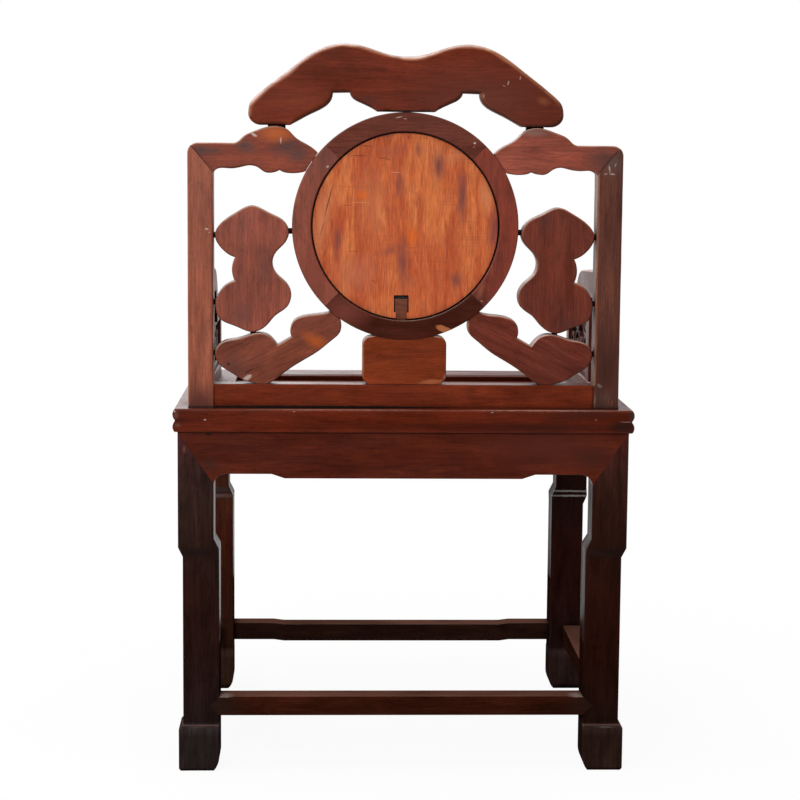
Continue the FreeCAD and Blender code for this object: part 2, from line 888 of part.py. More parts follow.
board = new_body("back_board")
disc = new_sketch(board, "XZ_Plane", "disc")
disc.addGeometry(Part.Circle(Vector(), Vector(0, 0, 1), size("ring_radius")))
disc.addConstraint(Sketcher.Constraint("Coincident", 0, 3, -1, 1))
disc.addConstraint(Sketcher.Constraint("Radius", 0, size("ring_radius")))
disc.renameConstraint(1, "radius")
bind(disc, "Constraints.radius", "ring_radius - ring_width - board_play")
pad(board, disc, "board_thickness", reverse=True)

tongue = new_sketch(board, "XZ_Plane", "tongue")
board_edge = "(ring_radius - ring_width - board_play)"
polygon(
    tongue,
    [
        ("-board_tongue_width / 2", f"{board_edge} - board_tongue_width"),
        ("board_tongue_width / 2", f"{board_edge} - board_tongue_width"),
        ("board_tongue_width / 2", f"{board_edge} + board_tongue_length"),
        ("-board_tongue_width / 2", f"{board_edge} + board_tongue_length"),
    ],
)
bind(tongue, ".AttachmentOffset.Base.z", "board_tongue_thickness / 2 - board_thickness / 2")
pad(board, tongue, "board_tongue_thickness", reverse=True)

window = new_sketch(board, "XZ_Plane", "window")
window_half = "(bolt_grip / 2 + bolt_play)"
window_low = "(-bolt_drop - bolt_grip / 2 - pocket_play)"
window_high = "(bolt_grip / 2 + bolt_travel + pocket_play - bolt_drop)"
polygon(
    window,
    [
        (f"bolt_offset - {window_half}", window_low),
        (f"bolt_offset + {window_half}", window_low),
        (f"bolt_offset + {window_half}", window_high),
        (f"bolt_offset - {window_half}", window_high),
    ],
)
pocket(board, window, midplane=True)


def bolt_channel(name, half_width, depth):
    """A slot from the window to the board's lower edge."""
    slot = new_sketch(board, "XZ_Plane", name)
    polygon(
        slot,
        [
            (f"bolt_offset - {half_width}", f"-{board_edge} - board_play"),
            (f"bolt_offset + {half_width}", f"-{board_edge} - board_play"),
            (f"bolt_offset + {half_width}", window_low),
            (f"bolt_offset - {half_width}", window_low),
        ],
    )
    if depth is None:
        pocket(board, slot, midplane=True)
    else:
        pocket(board, slot, depth)


bolt_channel("slot", "(bolt_width / 2 + pocket_play)", None)
bolt_channel("undercut", "(bolt_width / 2 + bolt_flange + pocket_play)", "board_thickness / 2")
place(board, "0", BOARD_FRONT, RING_CENTRE)
keep(board)

# Sliding bolt: a finger grip in the window, and a flanged tongue that enters the ring

bolt = new_body("board_bolt")
grip = new_sketch(bolt, "XZ_Plane", "grip")
grip_low = "(-bolt_drop - bolt_grip / 2)"
polygon(
    grip,
    [
        ("bolt_offset - bolt_grip / 2", grip_low),
        ("bolt_offset + bolt_grip / 2", grip_low),
        ("bolt_offset + bolt_grip / 2", "bolt_grip / 2 - bolt_drop"),
        ("bolt_offset - bolt_grip / 2", "bolt_grip / 2 - bolt_drop"),
    ],
)
bind(grip, ".AttachmentOffset.Base.z", "bolt_thickness / 2 - board_thickness / 2")
pad(bolt, grip, "bolt_thickness", reverse=True)
shank = new_sketch(bolt, "XZ_Plane", "shank")
bolt_tip = "(ring_width - ring_radius - bolt_bite)"
polygon(
    shank,
    [
        ("bolt_offset - bolt_width / 2", bolt_tip),
        ("bolt_offset + bolt_width / 2", bolt_tip),
        ("bolt_offset + bolt_width / 2", grip_low),
        ("bolt_offset - bolt_width / 2", grip_low),
    ],
)
bind(shank, ".AttachmentOffset.Base.z", "bolt_thickness / 2 - board_thickness / 2")
pad(bolt, shank, "bolt_thickness", reverse=True)
flange = new_sketch(bolt, "XZ_Plane", "flange")
polygon(
    flange,
    [
        ("bolt_offset - bolt_width / 2 - bolt_flange", f"{grip_low} - bolt_flange_length"),
        ("bolt_offset + bolt_width / 2 + bolt_flange", f"{grip_low} - bolt_flange_length"),
        ("bolt_offset + bolt_width / 2 + bolt_flange", grip_low),
        ("bolt_offset - bolt_width / 2 - bolt_flange", grip_low),
    ],
)
bind(flange, ".AttachmentOffset.Base.z", "bolt_thickness / 2 - board_thickness / 2")
pad(bolt, flange, "bolt_thickness / 2 - pocket_play", reverse=True)
place(bolt, "0", BOARD_FRONT, RING_CENTRE)
keep(bolt)

# Sockets in the ring for the bolt and for the board's tongue

bolt_socket = box(
    "bolt_socket",
    "bolt_width + 2 * pocket_play",
    "bolt_thickness + 2 * pocket_play",
    "bolt_bite + pocket_play + ring_lip",
    "bolt_offset - bolt_width / 2 - pocket_play",
    f"{BOARD_FRONT} + board_thickness / 2 - bolt_thickness / 2 - pocket_play",
    f"{RING_CENTRE} + ring_width - ring_radius - bolt_bite - pocket_play",
)
tongue_socket = box(
    "tongue_socket",
    "board_tongue_width + 2 * pocket_play",
    "board_tongue_thickness + 2 * pocket_play",
    "board_tongue_length + board_play",
    "-board_tongue_width / 2 - pocket_play",
    f"{BOARD_FRONT} + board_thickness / 2 - board_tongue_thickness / 2 - pocket_play",
    f"{RING_CENTRE} + ring_radius - ring_width + pocket_play - board_play - board_play",
)

# Dowels and flat tongues that join the pieces of the back


def dowel(name, across, up, angle):
    """A dowel in the back's plane, centred at a place and turned from level by an angle."""
    feature = doc.addObject("Part::Cylinder", f"dowel_{name}")
    bind(feature, "Radius", "dowel_diameter / 2")
    bind(feature, "Height", "dowel_length")
    way = Vector(math.cos(angle), 0, math.sin(angle))
    back_y = size("seat_depth") / 2 - size("post_back_inset") - size("post_depth") / 2
    middle = Vector(across, back_y, size("seat_height") + up)
    start = middle - way * (size("dowel_length") / 2)
    feature.Placement = FreeCAD.Placement(start, FreeCAD.Rotation(Vector(0, 0, 1), way))
    return feature


def flat_tongue(name, across, up):
    """A flat loose tongue that stands in the back's plane, as thick and as long as a dowel."""
    feature = doc.addObject("Part::Box", f"tongue_{name}")
    bind(feature, "Length", "tongue_width")
    bind(feature, "Width", "dowel_diameter")
    bind(feature, "Height", "dowel_length")
    back_y = size("seat_depth") / 2 - size("post_back_inset") - size("post_depth") / 2
    corner = Vector(size("tongue_width"), size("dowel_diameter"), size("dowel_length")) / 2
    feature.Placement.Base = Vector(across, back_y, size("seat_height") + up) - corner
    return feature


def on_ring(angle, radius):
    """A place in the back's plane at an angle round the ring's centre."""
    return radius * math.cos(angle), size("ring_centre_height") + radius * math.sin(angle)


UPRIGHT = math.pi / 2
inner_face = back_edges()[0]
side_low, side_width, side_span = side_cloud_box()
lower_low, lower_width, lower_rise = lower_cloud_box()
middle_radius = size("ring_radius") - size("ring_width") / 2

dowels = {
    "crest_ring": dowel("crest_ring", 0, size("ring_centre_height") + size("ring_radius"), UPRIGHT),
    "block_ring": dowel("block_ring", 0, size("ring_centre_height") - size("ring_radius"), UPRIGHT),
}
for hand, side in HANDS.items():
    block_x = side * size("block_width") / 4
    dowels[f"block_rail_{hand}"] = dowel(f"block_rail_{hand}", block_x, size("foot_rail_height"), UPRIGHT)
    dowels[f"crest_cloud_{hand}"] = flat_tongue(f"crest_cloud_{hand}", side * crown_x(), crest_low())
    post_x = side * inner_face
    cloud_low, cloud_high, ring_z = (side_low.y + side_span * share for share in SIDE_CLOUD_PIN_SHARES)
    dowels[f"post_cloud_low_{hand}"] = dowel(f"post_cloud_low_{hand}", post_x, cloud_low, 0)
    dowels[f"post_cloud_high_{hand}"] = dowel(f"post_cloud_high_{hand}", post_x, cloud_high, 0)
    lower_z = lower_low.y + lower_rise * LOWER_CLOUD_PIN_SHARE
    dowels[f"post_lower_{hand}"] = dowel(f"post_lower_{hand}", post_x, lower_z, 0)
    dowels[f"cloud_ring_{hand}"] = dowel(f"cloud_ring_{hand}", side * size("ring_radius"), ring_z, 0)
    between_x = side * (inner_face + side_width * BETWEEN_CLOUDS_SHARE)
    dowels[f"cloud_cloud_{hand}"] = dowel(f"cloud_cloud_{hand}", between_x, side_low.y, UPRIGHT)
    rail_x = side * (inner_face + lower_width * LOWER_CLOUD_FOOT_SHARE)
    dowels[f"lower_rail_{hand}"] = dowel(f"lower_rail_{hand}", rail_x, size("foot_rail_height"), UPRIGHT)
    for name, degrees in RING_PINS.items():
        angle = math.radians(degrees if side > 0 else 180 - degrees)
        across, up = on_ring(angle, size("ring_radius"))
        dowels[f"{name}_{hand}"] = dowel(f"{name}_{hand}", across, up, angle)
    for end, degrees in (("high", 45), ("low", -45)):
        angle = math.radians(degrees if side > 0 else 180 - degrees)
        across, up = on_ring(angle, middle_radius)
        dowels[f"ring_joint_{end}_{hand}"] = dowel(
            f"ring_joint_{end}_{hand}", across, up, angle + UPRIGHT
        )

ring_clearance = doc.addObject("Part::Cylinder", "ring_clearance")
bind(ring_clearance, "Radius", "ring_radius + cloud_clearance")
bind(ring_clearance, "Height", "2 * crest_thickness")
place(ring_clearance, "0", f"{BACK_Y} - crest_thickness", RING_CENTRE, -90, Vector(1, 0, 0))

keep(
    carve(
        "ring_top",
        ring_blank("ring_top_blank", 0),
        [tongue_socket]
        + [dowels[name] for name in ("crest_ring", "ring_joint_high_left", "ring_joint_high_right")],
    )
)
keep(
    carve(
        "ring_bottom",
        ring_blank("ring_bottom_blank", 180),
        [bolt_socket]
        + [dowels[name] for name in ("block_ring", "ring_joint_low_left", "ring_joint_low_right")]
        + [dowels[f"lower_ring_{hand}"] for hand in HANDS],
    )
)
keep(
    carve(
        "crest_rail",
        crest_blank("crest_rail_blank"),
        [dowels[name] for name in ("crest_ring", "crest_cloud_left", "crest_cloud_right")],
    )
)
keep(
    carve(
        "centre_block",
        block_blank("centre_block_blank"),
        [ring_clearance]
        + [dowels[name] for name in ("block_ring", "block_rail_left", "block_rail_right")],
    )
)
for hand, side in HANDS.items():
    own = {name: pin for name, pin in dowels.items() if name.endswith(hand)}
    keep(
        carve(
            f"ring_{hand}",
            ring_blank(f"ring_{hand}_blank", 90 * side),
            [
                own[f"{name}_{hand}"]
                for name in ("upper_ring", "cloud_ring", "ring_joint_high", "ring_joint_low")
            ],
        )
    )
    keep(
        carve(
            f"upper_cloud_{hand}",
            upper_cloud_blank(f"upper_cloud_{hand}_blank", side),
            [ring_clearance, own[f"upper_ring_{hand}"], own[f"crest_cloud_{hand}"]],
        )
    )
    keep(
        carve(
            f"side_cloud_{hand}",
            side_cloud_blank(f"side_cloud_{hand}_blank", side),
            [
                own[f"{name}_{hand}"]
                for name in ("post_cloud_low", "post_cloud_high", "cloud_ring", "cloud_cloud")
            ],
        )
    )
    keep(
        carve(
            f"lower_cloud_{hand}",
            lower_cloud_blank(f"lower_cloud_{hand}_blank", side),
            [ring_clearance]
            + [own[f"{name}_{hand}"] for name in ("post_lower", "lower_ring", "cloud_cloud", "lower_rail")],
        )
    )
keep(
    carve(
        "back_foot_rail",
        foot_rail,
        [dowels[f"{name}_{hand}"] for name in ("block_rail", "lower_rail") for hand in HANDS],
    )
)
back_dowels = doc.addObject("Part::Compound", "back_dowels")
back_dowels.Label = "back_dowels"
back_dowels.Links = list(dowels.values())
keep(back_dowels)

# Arms: a stepped cloud-edged rail over a frame, with one carved field in front


def arm_slab(label, side, start, steps, thickness="arm_thickness"):
    """A flat piece of an arm; it runs forward from the back post and up from the seat."""
    body = new_body(label)
    face = new_sketch(body, "YZ_Plane", "face")
    closed_outline(face, start, steps)
    pad(body, face, thickness, midplane=True)
    place_arm(body, side)
    return body


def place_arm(feature, side):
    """Put a piece drawn in the arm's own frame on its side of the chair."""
    sign = "" if side > 0 else "-"
    x = f"{sign}(seat_width / 2 - arm_outer_inset - arm_thickness / 2)"
    place(feature, x, "seat_depth / 2 - post_back_inset - post_depth", "seat_height")


def arm_box(label, side, start, end, low, high, thickness="arm_thickness"):
    """A straight piece of an arm between two places along it and two heights."""
    body = new_body(label)
    face = new_sketch(body, "YZ_Plane", "face")
    arm_rectangle(face, start, end, low, high)
    pad(body, face, thickness, midplane=True)
    place_arm(body, side)
    return body


def arm_rectangle(sketch, start, end, low, high):
    """A rectangle in the arm's own frame, where forward is negative."""
    behind = "0" if start == "0" else f"-({start})"
    polygon(sketch, [(behind, low), (f"-({end})", low), (f"-({end})", high), (behind, high)])


def arm_tenons(body, start, end, low, high):
    """A thin tenon above and below an upright piece."""
    face = new_sketch(body, "YZ_Plane", "tenons")
    quarter = f"({end} - {start}) / 4"
    arm_rectangle(
        face, f"{start} + {quarter}", f"{end} - {quarter}", f"{low} - arm_tenon", f"{high} + arm_tenon"
    )
    pad(body, face, "arm_tenon_thickness", midplane=True)


ARM_FRONT_UNDER = "(arm_height - arm_front_drop - arm_front_depth)"
ARM_REAR_UNDER = "(arm_height - arm_rear_depth)"


def arm_rail_blank(label, side):
    """The arm's top rail: high behind, stepping down to a rounded nose."""
    length = size("arm_length")
    height = size("arm_height")
    front_under = height - size("arm_front_drop") - size("arm_front_depth")
    rear_under = height - size("arm_rear_depth")
    shoulder = size("arm_shoulder")
    box_of_arm = (Vector(), -length, height)
    steps = [
        ("curve", *spread(ARM_TOP_SHARES, *box_of_arm), *spread(ARM_NOSE_SHARES, *box_of_arm)),
        ("line", Vector(-length, front_under)),
        ("line", Vector(-shoulder - size("arm_slope_run"), front_under)),
        ("line", Vector(-shoulder, rear_under)),
        ("line", Vector(0, rear_under)),
        ("line", Vector(0, height)),
    ]
    return arm_slab(label, side, Vector(0, height), steps)


def half_band(centre, radius, band, upper, thickness):
    """Half of a flat ring of an arm's carving, above or below its centre."""
    lift = 1 if upper else -1
    wide = radius + band / 2
    slim = radius - band / 2

    def corner(along, up):
        return Vector(-thickness / 2, centre.x + along, centre.y + lift * up)

    outline = [
        Part.Arc(corner(-wide, 0), corner(0, wide), corner(wide, 0)).toShape(),
        Part.makeLine(corner(wide, 0), corner(slim, 0)),
        Part.Arc(corner(slim, 0), corner(0, slim), corner(-slim, 0)).toShape(),
        Part.makeLine(corner(-slim, 0), corner(-wide, 0)),
    ]
    return Part.Face(Part.Wire(outline)).extrude(Vector(thickness, 0, 0))


def scroll(centre, radius, upper, forward, thickness):
    """A spiral of shrinking half bands that starts at one end of a half ring."""
    band = size("fret_band")
    bands = [half_band(centre, radius, band, upper, thickness)]
    end = centre.x + forward * radius
    side_up = upper
    for share in SCROLL_SHARES:
        side_up = not side_up
        forward = -forward
        inner_radius = radius * share
        middle = end + forward * inner_radius
        bands.append(half_band(Vector(middle, centre.y), inner_radius, band, side_up, thickness))
        end = middle + forward * inner_radius
    knob = Part.makeCylinder(
        band * KNOB_SHARE, thickness, Vector(-thickness / 2, end, centre.y), Vector(1, 0, 0)
    )
    return bands + [knob]


def arm_fret(label, side):
    """The carved field: a border with a running scroll and one large scroll above it."""
    start = size("middle_stile_start") + size("middle_stile_width")
    end = size("arm_length") - size("arm_stile_width")
    low = size("arm_foot_height")
    front_high = size("arm_height") - size("arm_front_drop") - size("arm_front_depth")
    rear_high = size("arm_height") - size("arm_rear_depth")
    shoulder = size("arm_shoulder")
    thickness = size("fret_thickness")
    border = size("fret_border")
    outline = [
        Vector(0, -start, low),
        Vector(0, -end, low),
        Vector(0, -end, front_high),
        Vector(0, -shoulder - size("arm_slope_run"), front_high),
        Vector(0, -shoulder, rear_high),
        Vector(0, -start, rear_high),
    ]
    plate = Part.Face(Part.makePolygon(outline + [outline[0]]))
    frame = plate.cut(plate.makeOffset2D(-border, 2)).extrude(Vector(thickness, 0, 0))
    frame.translate(Vector(-thickness / 2, 0, 0))
    inside = front_high - low - 2 * border
    run = end - start - 2 * border
    count = max(1, round(run / inside))
    pitch = run / count
    level = (low + front_high) / 2
    pieces = []
    for turn in range(count):
        centre = Vector(-start - border - pitch * (turn + 0.5), level)
        pieces += scroll(centre, pitch / 2, turn % 2 == 0, -1, thickness)
    rear_run = shoulder - start - border
    radius = (rear_high - border - level - pitch / 2) / 2
    middle = Vector(-start - rear_run / 2, rear_high - border - radius)
    pieces += scroll(middle, radius, True, 1, thickness)
    pieces += [half_band(middle, radius, size("fret_band"), False, thickness)]
    tie = size("fret_band")
    for low_y, high_y in (
        (-start - border, middle.x + radius),
        (middle.x - radius, -shoulder - size("arm_slope_run") / 2),
    ):
        near = min(low_y, high_y)
        pieces.append(
            Part.makeBox(
                thickness, abs(high_y - low_y), tie, Vector(-thickness / 2, near, middle.y - tie / 2)
            )
        )
    feature = doc.addObject("Part::Feature", label)
    feature.Label = label
    feature.Shape = frame.multiFuse(pieces).removeSplitter()
    place_arm(feature, side)
    return keep(feature)


arm_pins = {}


def arm_pin(name, side, along, up):
    """A level dowel in an arm, centred on a joint between two of its pieces."""
    feature = doc.addObject("Part::Cylinder", f"arm_dowel_{name}")
    bind(feature, "Radius", "dowel_diameter / 2")
    bind(feature, "Height", "dowel_length")
    sign = "" if side > 0 else "-"
    place(
        feature,
        f"{sign}(seat_width / 2 - arm_outer_inset - arm_thickness / 2)",
        f"seat_depth / 2 - post_back_inset - post_depth - ({along}) - dowel_length / 2",
        f"seat_height + {up}",
        -90,
        Vector(1, 0, 0),
    )
    arm_pins[name] = feature
    return feature


seat_tools = {"left": [], "right": []}
for hand, side in HANDS.items():
    rear_pins = [
        arm_pin(f"high_{hand}", side, "0", "(arm_height - arm_rear_depth / 4)"),
        arm_pin(f"middle_{hand}", side, "0", "(arm_height - 3 * arm_rear_depth / 4)"),
    ]
    foot_pin = arm_pin(f"low_{hand}", side, "0", "arm_foot_height / 2")
    front_pin = arm_pin(f"front_{hand}", side, "arm_length - arm_stile_width", "arm_foot_height / 2")
    front_start = "(arm_length - arm_stile_width)"
    front_post = arm_box(
        f"arm_front_post_{hand}_blank", side, front_start, "arm_length", "0", ARM_FRONT_UNDER
    )
    arm_tenons(front_post, front_start, "arm_length", "0", ARM_FRONT_UNDER)
    middle_end = "(middle_stile_start + middle_stile_width)"
    middle_post = arm_box(
        f"arm_middle_post_{hand}",
        side,
        "middle_stile_start",
        middle_end,
        "arm_foot_height",
        ARM_REAR_UNDER,
    )
    arm_tenons(middle_post, "middle_stile_start", middle_end, "arm_foot_height", ARM_REAR_UNDER)
    keep(middle_post)
    front = keep(carve(f"arm_front_post_{hand}", front_post, [front_pin]))
    seat_tools[hand].append(front)
    foot = arm_box(f"arm_foot_rail_{hand}_blank", side, "0", front_start, "0", "arm_foot_height")
    keep(carve(f"arm_foot_rail_{hand}", foot, [foot_pin, front_pin, middle_post]))
    keep(
        carve(
            f"arm_rail_{hand}",
            arm_rail_blank(f"arm_rail_{hand}_blank", side),
            rear_pins + [front, middle_post],
        )
    )
    arm_fret(f"arm_fret_{hand}", side)
    own = [pin for name, pin in dowels.items() if name.startswith("post_") and name.endswith(hand)]
    keep(carve(f"back_post_{hand}", post_blanks[hand], own + rear_pins + [foot_pin]))

arm_dowels = doc.addObject("Part::Compound", "arm_dowels")
arm_dowels.Label = "arm_dowels"
arm_dowels.Links = list(arm_pins.values())
keep(arm_dowels)

# Seat: a floating panel on two battens, held in a mitred frame with a double-beaded edge

opening_width = "(seat_width - 2 * rail_width)"
opening_depth = "(seat_depth - 2 * rail_width)"
tongue_reach = "(tongue_length - tongue_play)"


def seat_plate(body, name, width, depth, thickness, drop=None):
    """A plate centred on the seat, downward from the body's top or from a drop below it."""
    plan = new_sketch(body, "XY_Plane", name)
    polygon(
        plan,
        [
            (f"-{width} / 2", f"-{depth} / 2"),
            (f"{width} / 2", f"-{depth} / 2"),
            (f"{width} / 2", f"{depth} / 2"),
            (f"-{width} / 2", f"{depth} / 2"),
        ],
    )
    if drop:
        bind(plan, ".AttachmentOffset.Base.z", f"-{drop}")
    pad(body, plan, thickness, reverse=True)


panel = new_body("seat_panel")
seat_plate(panel, "field", opening_width, opening_depth, "panel_thickness")
seat_plate(
    panel,
    "tongues",
    f"({opening_width} + 2 * {tongue_reach})",
    f"({opening_depth} + 2 * {tongue_reach})",
    "tongue_thickness",
    "tongue_drop",
)
place(panel, "0", "0", "seat_height - panel_sink")
keep(panel)

battens = []
for hand, sign in (("left", ""), ("right", "-")):
    batten = new_body(f"seat_batten_{hand}")
    seat_plate(batten, "bar", "batten_width", opening_depth, "batten_height")
    seat_plate(
        batten,
        "tenons",
        "batten_width",
        f"({opening_depth} + 2 * batten_tenon)",
        "(rail_height - panel_sink - panel_thickness)",
    )
    place(batten, f"{sign}batten_spacing / 2", "0", "seat_height - panel_sink - panel_thickness")
    battens.append(keep(batten))


def beads(start, toward):
    """The two beads of the frame's edge from the underside up; toward is +1 or -1 along the section."""
    height = size("rail_height")
    depth = toward * size("rail_groove_depth")
    gap = size("rail_groove_gap") / 2
    return Vector(start + depth, 0), [
        ("arc", Vector(start, height / 4), Vector(start + depth, height / 2 - gap)),
        ("line", Vector(start + depth, height / 2 + gap)),
        ("arc", Vector(start, 3 * height / 4), Vector(start + depth, height)),
    ]


def plain_edge():
    """The back rail's flat edge from the underside up, with rounded corners."""
    height = size("rail_height")
    corner = size("back_rail_round")
    slant = corner * (1 - math.sqrt(0.5))
    return Vector(corner, 0), [
        ("arc", Vector(slant, slant), Vector(0, corner)),
        ("line", Vector(0, height - corner)),
        ("arc", Vector(slant, height - slant), Vector(corner, height)),
    ]


def trim_to_beads(body, end, hand):
    """Shape one end of the back rail so that the side rail's beads run out through it."""
    outside = new_sketch(body, "XZ_Plane", f"beads_{end}")
    tip = size("seat_width") / 2
    margin = size("rail_groove_depth")
    start, edge = beads(tip, -1)
    steps = edge + [
        ("line", Vector(tip + margin, size("rail_height"))),
        ("line", Vector(tip + margin, 0)),
        ("line", start),
    ]
    start, steps = mirrored_steps(start, steps, hand)
    closed_outline(outside, start, steps)
    pocket(body, outside, midplane=True)


def seat_rail(side, tools):
    """One side of the seat frame; its outer edge is at y = 0 and its underside at z = 0."""
    length, turn = SIDES[side][:2]
    height = size("rail_height")
    width = size("rail_width")
    top = height - size("panel_sink") - size("tongue_drop")
    tongue_low = top - size("tongue_thickness")
    inward = width - size("tongue_length")
    lip = size("lip_width")
    body = new_body(f"seat_rail_{side}_blank")
    section = new_sketch(body, "YZ_Plane", "section")
    start, edge = plain_edge() if side == "back" else beads(0, 1)
    closed_outline(
        section,
        start,
        edge
        + [
            ("line", Vector(width - lip, height)),
            ("line", Vector(width, height - size("lip_height"))),
            ("line", Vector(width, top)),
            ("line", Vector(inward, top)),
            ("line", Vector(inward, tongue_low)),
            ("line", Vector(width, tongue_low)),
            ("line", Vector(width, 0)),
            ("line", start),
        ],
    )
    pad(body, section, length, midplane=True)
    for end, sign in (("left", "-"), ("right", "")):
        mitre = new_sketch(body, "XY_Plane", f"mitre_{end}")
        polygon(
            mitre,
            [
                (f"{sign}{length} / 2", "0"),
                (f"{sign}({length} / 2 - rail_width)", "rail_width"),
                (f"{sign}({length} / 2 + rail_width)", "rail_width"),
            ],
        )
        pocket(body, mitre, midplane=True)
        if side == "back":
            trim_to_beads(body, end, -1 if end == "left" else 1)
    x = {"left": "seat_width / 2", "right": "-seat_width / 2"}.get(side, "0")
    y = {"front": "-seat_depth / 2", "back": "seat_depth / 2"}.get(side, "0")
    place(body, x, y, "seat_height - rail_height", turn)
    return keep(carve(f"seat_rail_{side}", body, tools))


front_legs = [legs["leg_front_left"], legs["leg_front_right"]]
back_legs = [legs["leg_back_left"], legs["leg_back_right"]]
seat_rail("front", front_legs + battens)
seat_rail("back", back_legs + battens + list(post_blanks.values()))
for hand in HANDS:
    own = [feature for label, feature in legs.items() if label.endswith(hand)]
    seat_rail(hand, own + [post_blanks[hand]] + seat_tools[hand])


def check_and_export():
    """Refuse a broken model, then write one STEP file per sub-part."""
    doc.recompute()
    for feature in doc.Objects:
        if "Invalid" in feature.State or "Error" in feature.State:
            raise RuntimeError(f"{feature.Label} failed: {feature.State}")
    for label, feature in PARTS.items():
        if feature.Shape.isNull() or not feature.Shape.isValid():
            raise RuntimeError(f"{label} has no valid shape")
    os.makedirs("parts", exist_ok=True)
    for label, feature in PARTS.items():
        feature.Shape.exportStep(f"parts/{label}.step")
        print(f"{label}: {len(feature.Shape.Solids)} solid, volume {feature.Shape.Volume:.0f}")


check_and_export()
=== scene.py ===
import json
import math

import bmesh
import bpy
from mathutils import Matrix, Vector
from mathutils.bvhtree import BVHTree
from mathutils.noise import noise as noise_at

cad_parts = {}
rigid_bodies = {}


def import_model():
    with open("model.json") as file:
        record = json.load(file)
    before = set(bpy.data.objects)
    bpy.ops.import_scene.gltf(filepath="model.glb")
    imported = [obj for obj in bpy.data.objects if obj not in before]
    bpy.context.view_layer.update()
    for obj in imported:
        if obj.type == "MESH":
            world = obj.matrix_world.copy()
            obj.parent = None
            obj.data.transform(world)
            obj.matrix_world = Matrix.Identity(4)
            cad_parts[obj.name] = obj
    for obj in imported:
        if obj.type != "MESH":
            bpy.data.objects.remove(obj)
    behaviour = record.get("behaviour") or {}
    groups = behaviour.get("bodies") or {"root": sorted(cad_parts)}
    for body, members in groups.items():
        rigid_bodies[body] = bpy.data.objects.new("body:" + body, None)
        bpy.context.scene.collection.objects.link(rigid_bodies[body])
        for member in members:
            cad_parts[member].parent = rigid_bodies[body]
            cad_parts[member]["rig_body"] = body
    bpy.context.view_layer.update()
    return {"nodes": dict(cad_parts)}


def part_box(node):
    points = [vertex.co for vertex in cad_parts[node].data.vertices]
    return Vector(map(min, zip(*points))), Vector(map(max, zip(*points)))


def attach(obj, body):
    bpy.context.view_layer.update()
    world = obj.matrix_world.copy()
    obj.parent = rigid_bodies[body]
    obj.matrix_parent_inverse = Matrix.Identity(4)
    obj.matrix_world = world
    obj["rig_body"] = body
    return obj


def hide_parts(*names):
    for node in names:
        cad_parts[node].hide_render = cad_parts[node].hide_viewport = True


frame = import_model()

MM = 0.001

# Camera, at the photograph's place behind the chair

CAMERA_PLACE = Vector((0.1079, 3.0788, 0.8638))
CAMERA_YAW = 0.03598
CAMERA_PITCH = 0.12054
CAMERA_ROLL = 0.00853
FOCAL_SHARE = 2.61566
SENSOR_WIDTH = 36.0
CLIP_START = 0.05
CLIP_END = 50


def make_camera():
    """The camera of the photograph: where it stands, where it looks and how far it leans."""
    look = Vector(
        (
            -math.sin(CAMERA_YAW) * math.cos(CAMERA_PITCH),
            -math.cos(CAMERA_YAW) * math.cos(CAMERA_PITCH),
            -math.sin(CAMERA_PITCH),
        )
    )
    level = look.cross(Vector((0, 0, 1))).normalized()
    upright = level.cross(look)
    right = level * math.cos(CAMERA_ROLL) + upright * math.sin(CAMERA_ROLL)
    up = upright * math.cos(CAMERA_ROLL) - level * math.sin(CAMERA_ROLL)
    turn = Matrix((right, up, -look)).transposed().to_4x4()
    data = bpy.data.cameras.new("camera")
    data.sensor_width = SENSOR_WIDTH
    data.lens = SENSOR_WIDTH * FOCAL_SHARE
    data.clip_start = CLIP_START
    data.clip_end = CLIP_END
    camera = bpy.data.objects.new("camera", data)
    camera.matrix_world = Matrix.Translation(CAMERA_PLACE) @ turn
    bpy.context.scene.collection.objects.link(camera)
    bpy.context.scene.camera = camera


make_camera()

# Node helpers, with the numbers of a mix node's two colours and of its result

MIX_FIRST = 6
MIX_SECOND = 7
MIX_RESULT = 2


def new_material(name):
    """An empty node material."""
    material = bpy.data.materials.new(name)
    material.use_nodes = True
    material.node_tree.nodes.clear()
    return material, material.node_tree


def add(tree, kind, sockets=None, **settings):
    """A node with its settings, and its sockets set or linked by name or number."""
    made = tree.nodes.new(kind)
    for name, value in settings.items():
        setattr(made, name, value)
    for name, value in (sockets or {}).items():
        if isinstance(value, bpy.types.NodeSocket):
            tree.links.new(value, made.inputs[name])
        else:
            made.inputs[name].default_value = value
    return made


def coordinates(tree, kind):
    """The object's own coordinates, its normal or the way into the world."""
    return add(tree, "ShaderNodeTexCoord").outputs[kind]


def parts_of(tree, vector):
    """The X, Y and Z of a vector."""
    return add(tree, "ShaderNodeSeparateXYZ", {"Vector": vector}).outputs


def noise(tree, vector, scale, detail=4.0, rough=0.55, twist=0.0):
    """The height of a noise, centred on one half."""
    sockets = {
        "Vector": vector,
        "Scale": scale,
        "Detail": detail,
        "Roughness": rough,
        "Distortion": twist,
    }
    return add(tree, "ShaderNodeTexNoise", sockets).outputs["Fac"]


def ramp(tree, value, stops):
    """A colour ramp; every stop is a place and a grey or a colour."""
    made = add(tree, "ShaderNodeValToRGB", {"Fac": value})
    elements = made.color_ramp.elements
    while len(elements) < len(stops):
        elements.new(0.5)
    for element, (place, colour) in zip(elements, stops):
        element.position = place
        element.color = (*colour, 1) if isinstance(colour, tuple) else (colour, colour, colour, 1)
    return made.outputs["Color"]


def opaque(colour):
    """A colour with its alpha; a socket stays as it is."""
    return (*colour, 1) if isinstance(colour, tuple) else colour


def blend(tree, kind, share, first, second):
    """Two colours mixed in a blend mode."""
    sockets = {0: share, MIX_FIRST: opaque(first), MIX_SECOND: opaque(second)}
    made = add(tree, "ShaderNodeMix", sockets, data_type="RGBA", blend_type=kind)
    return made.outputs[MIX_RESULT]


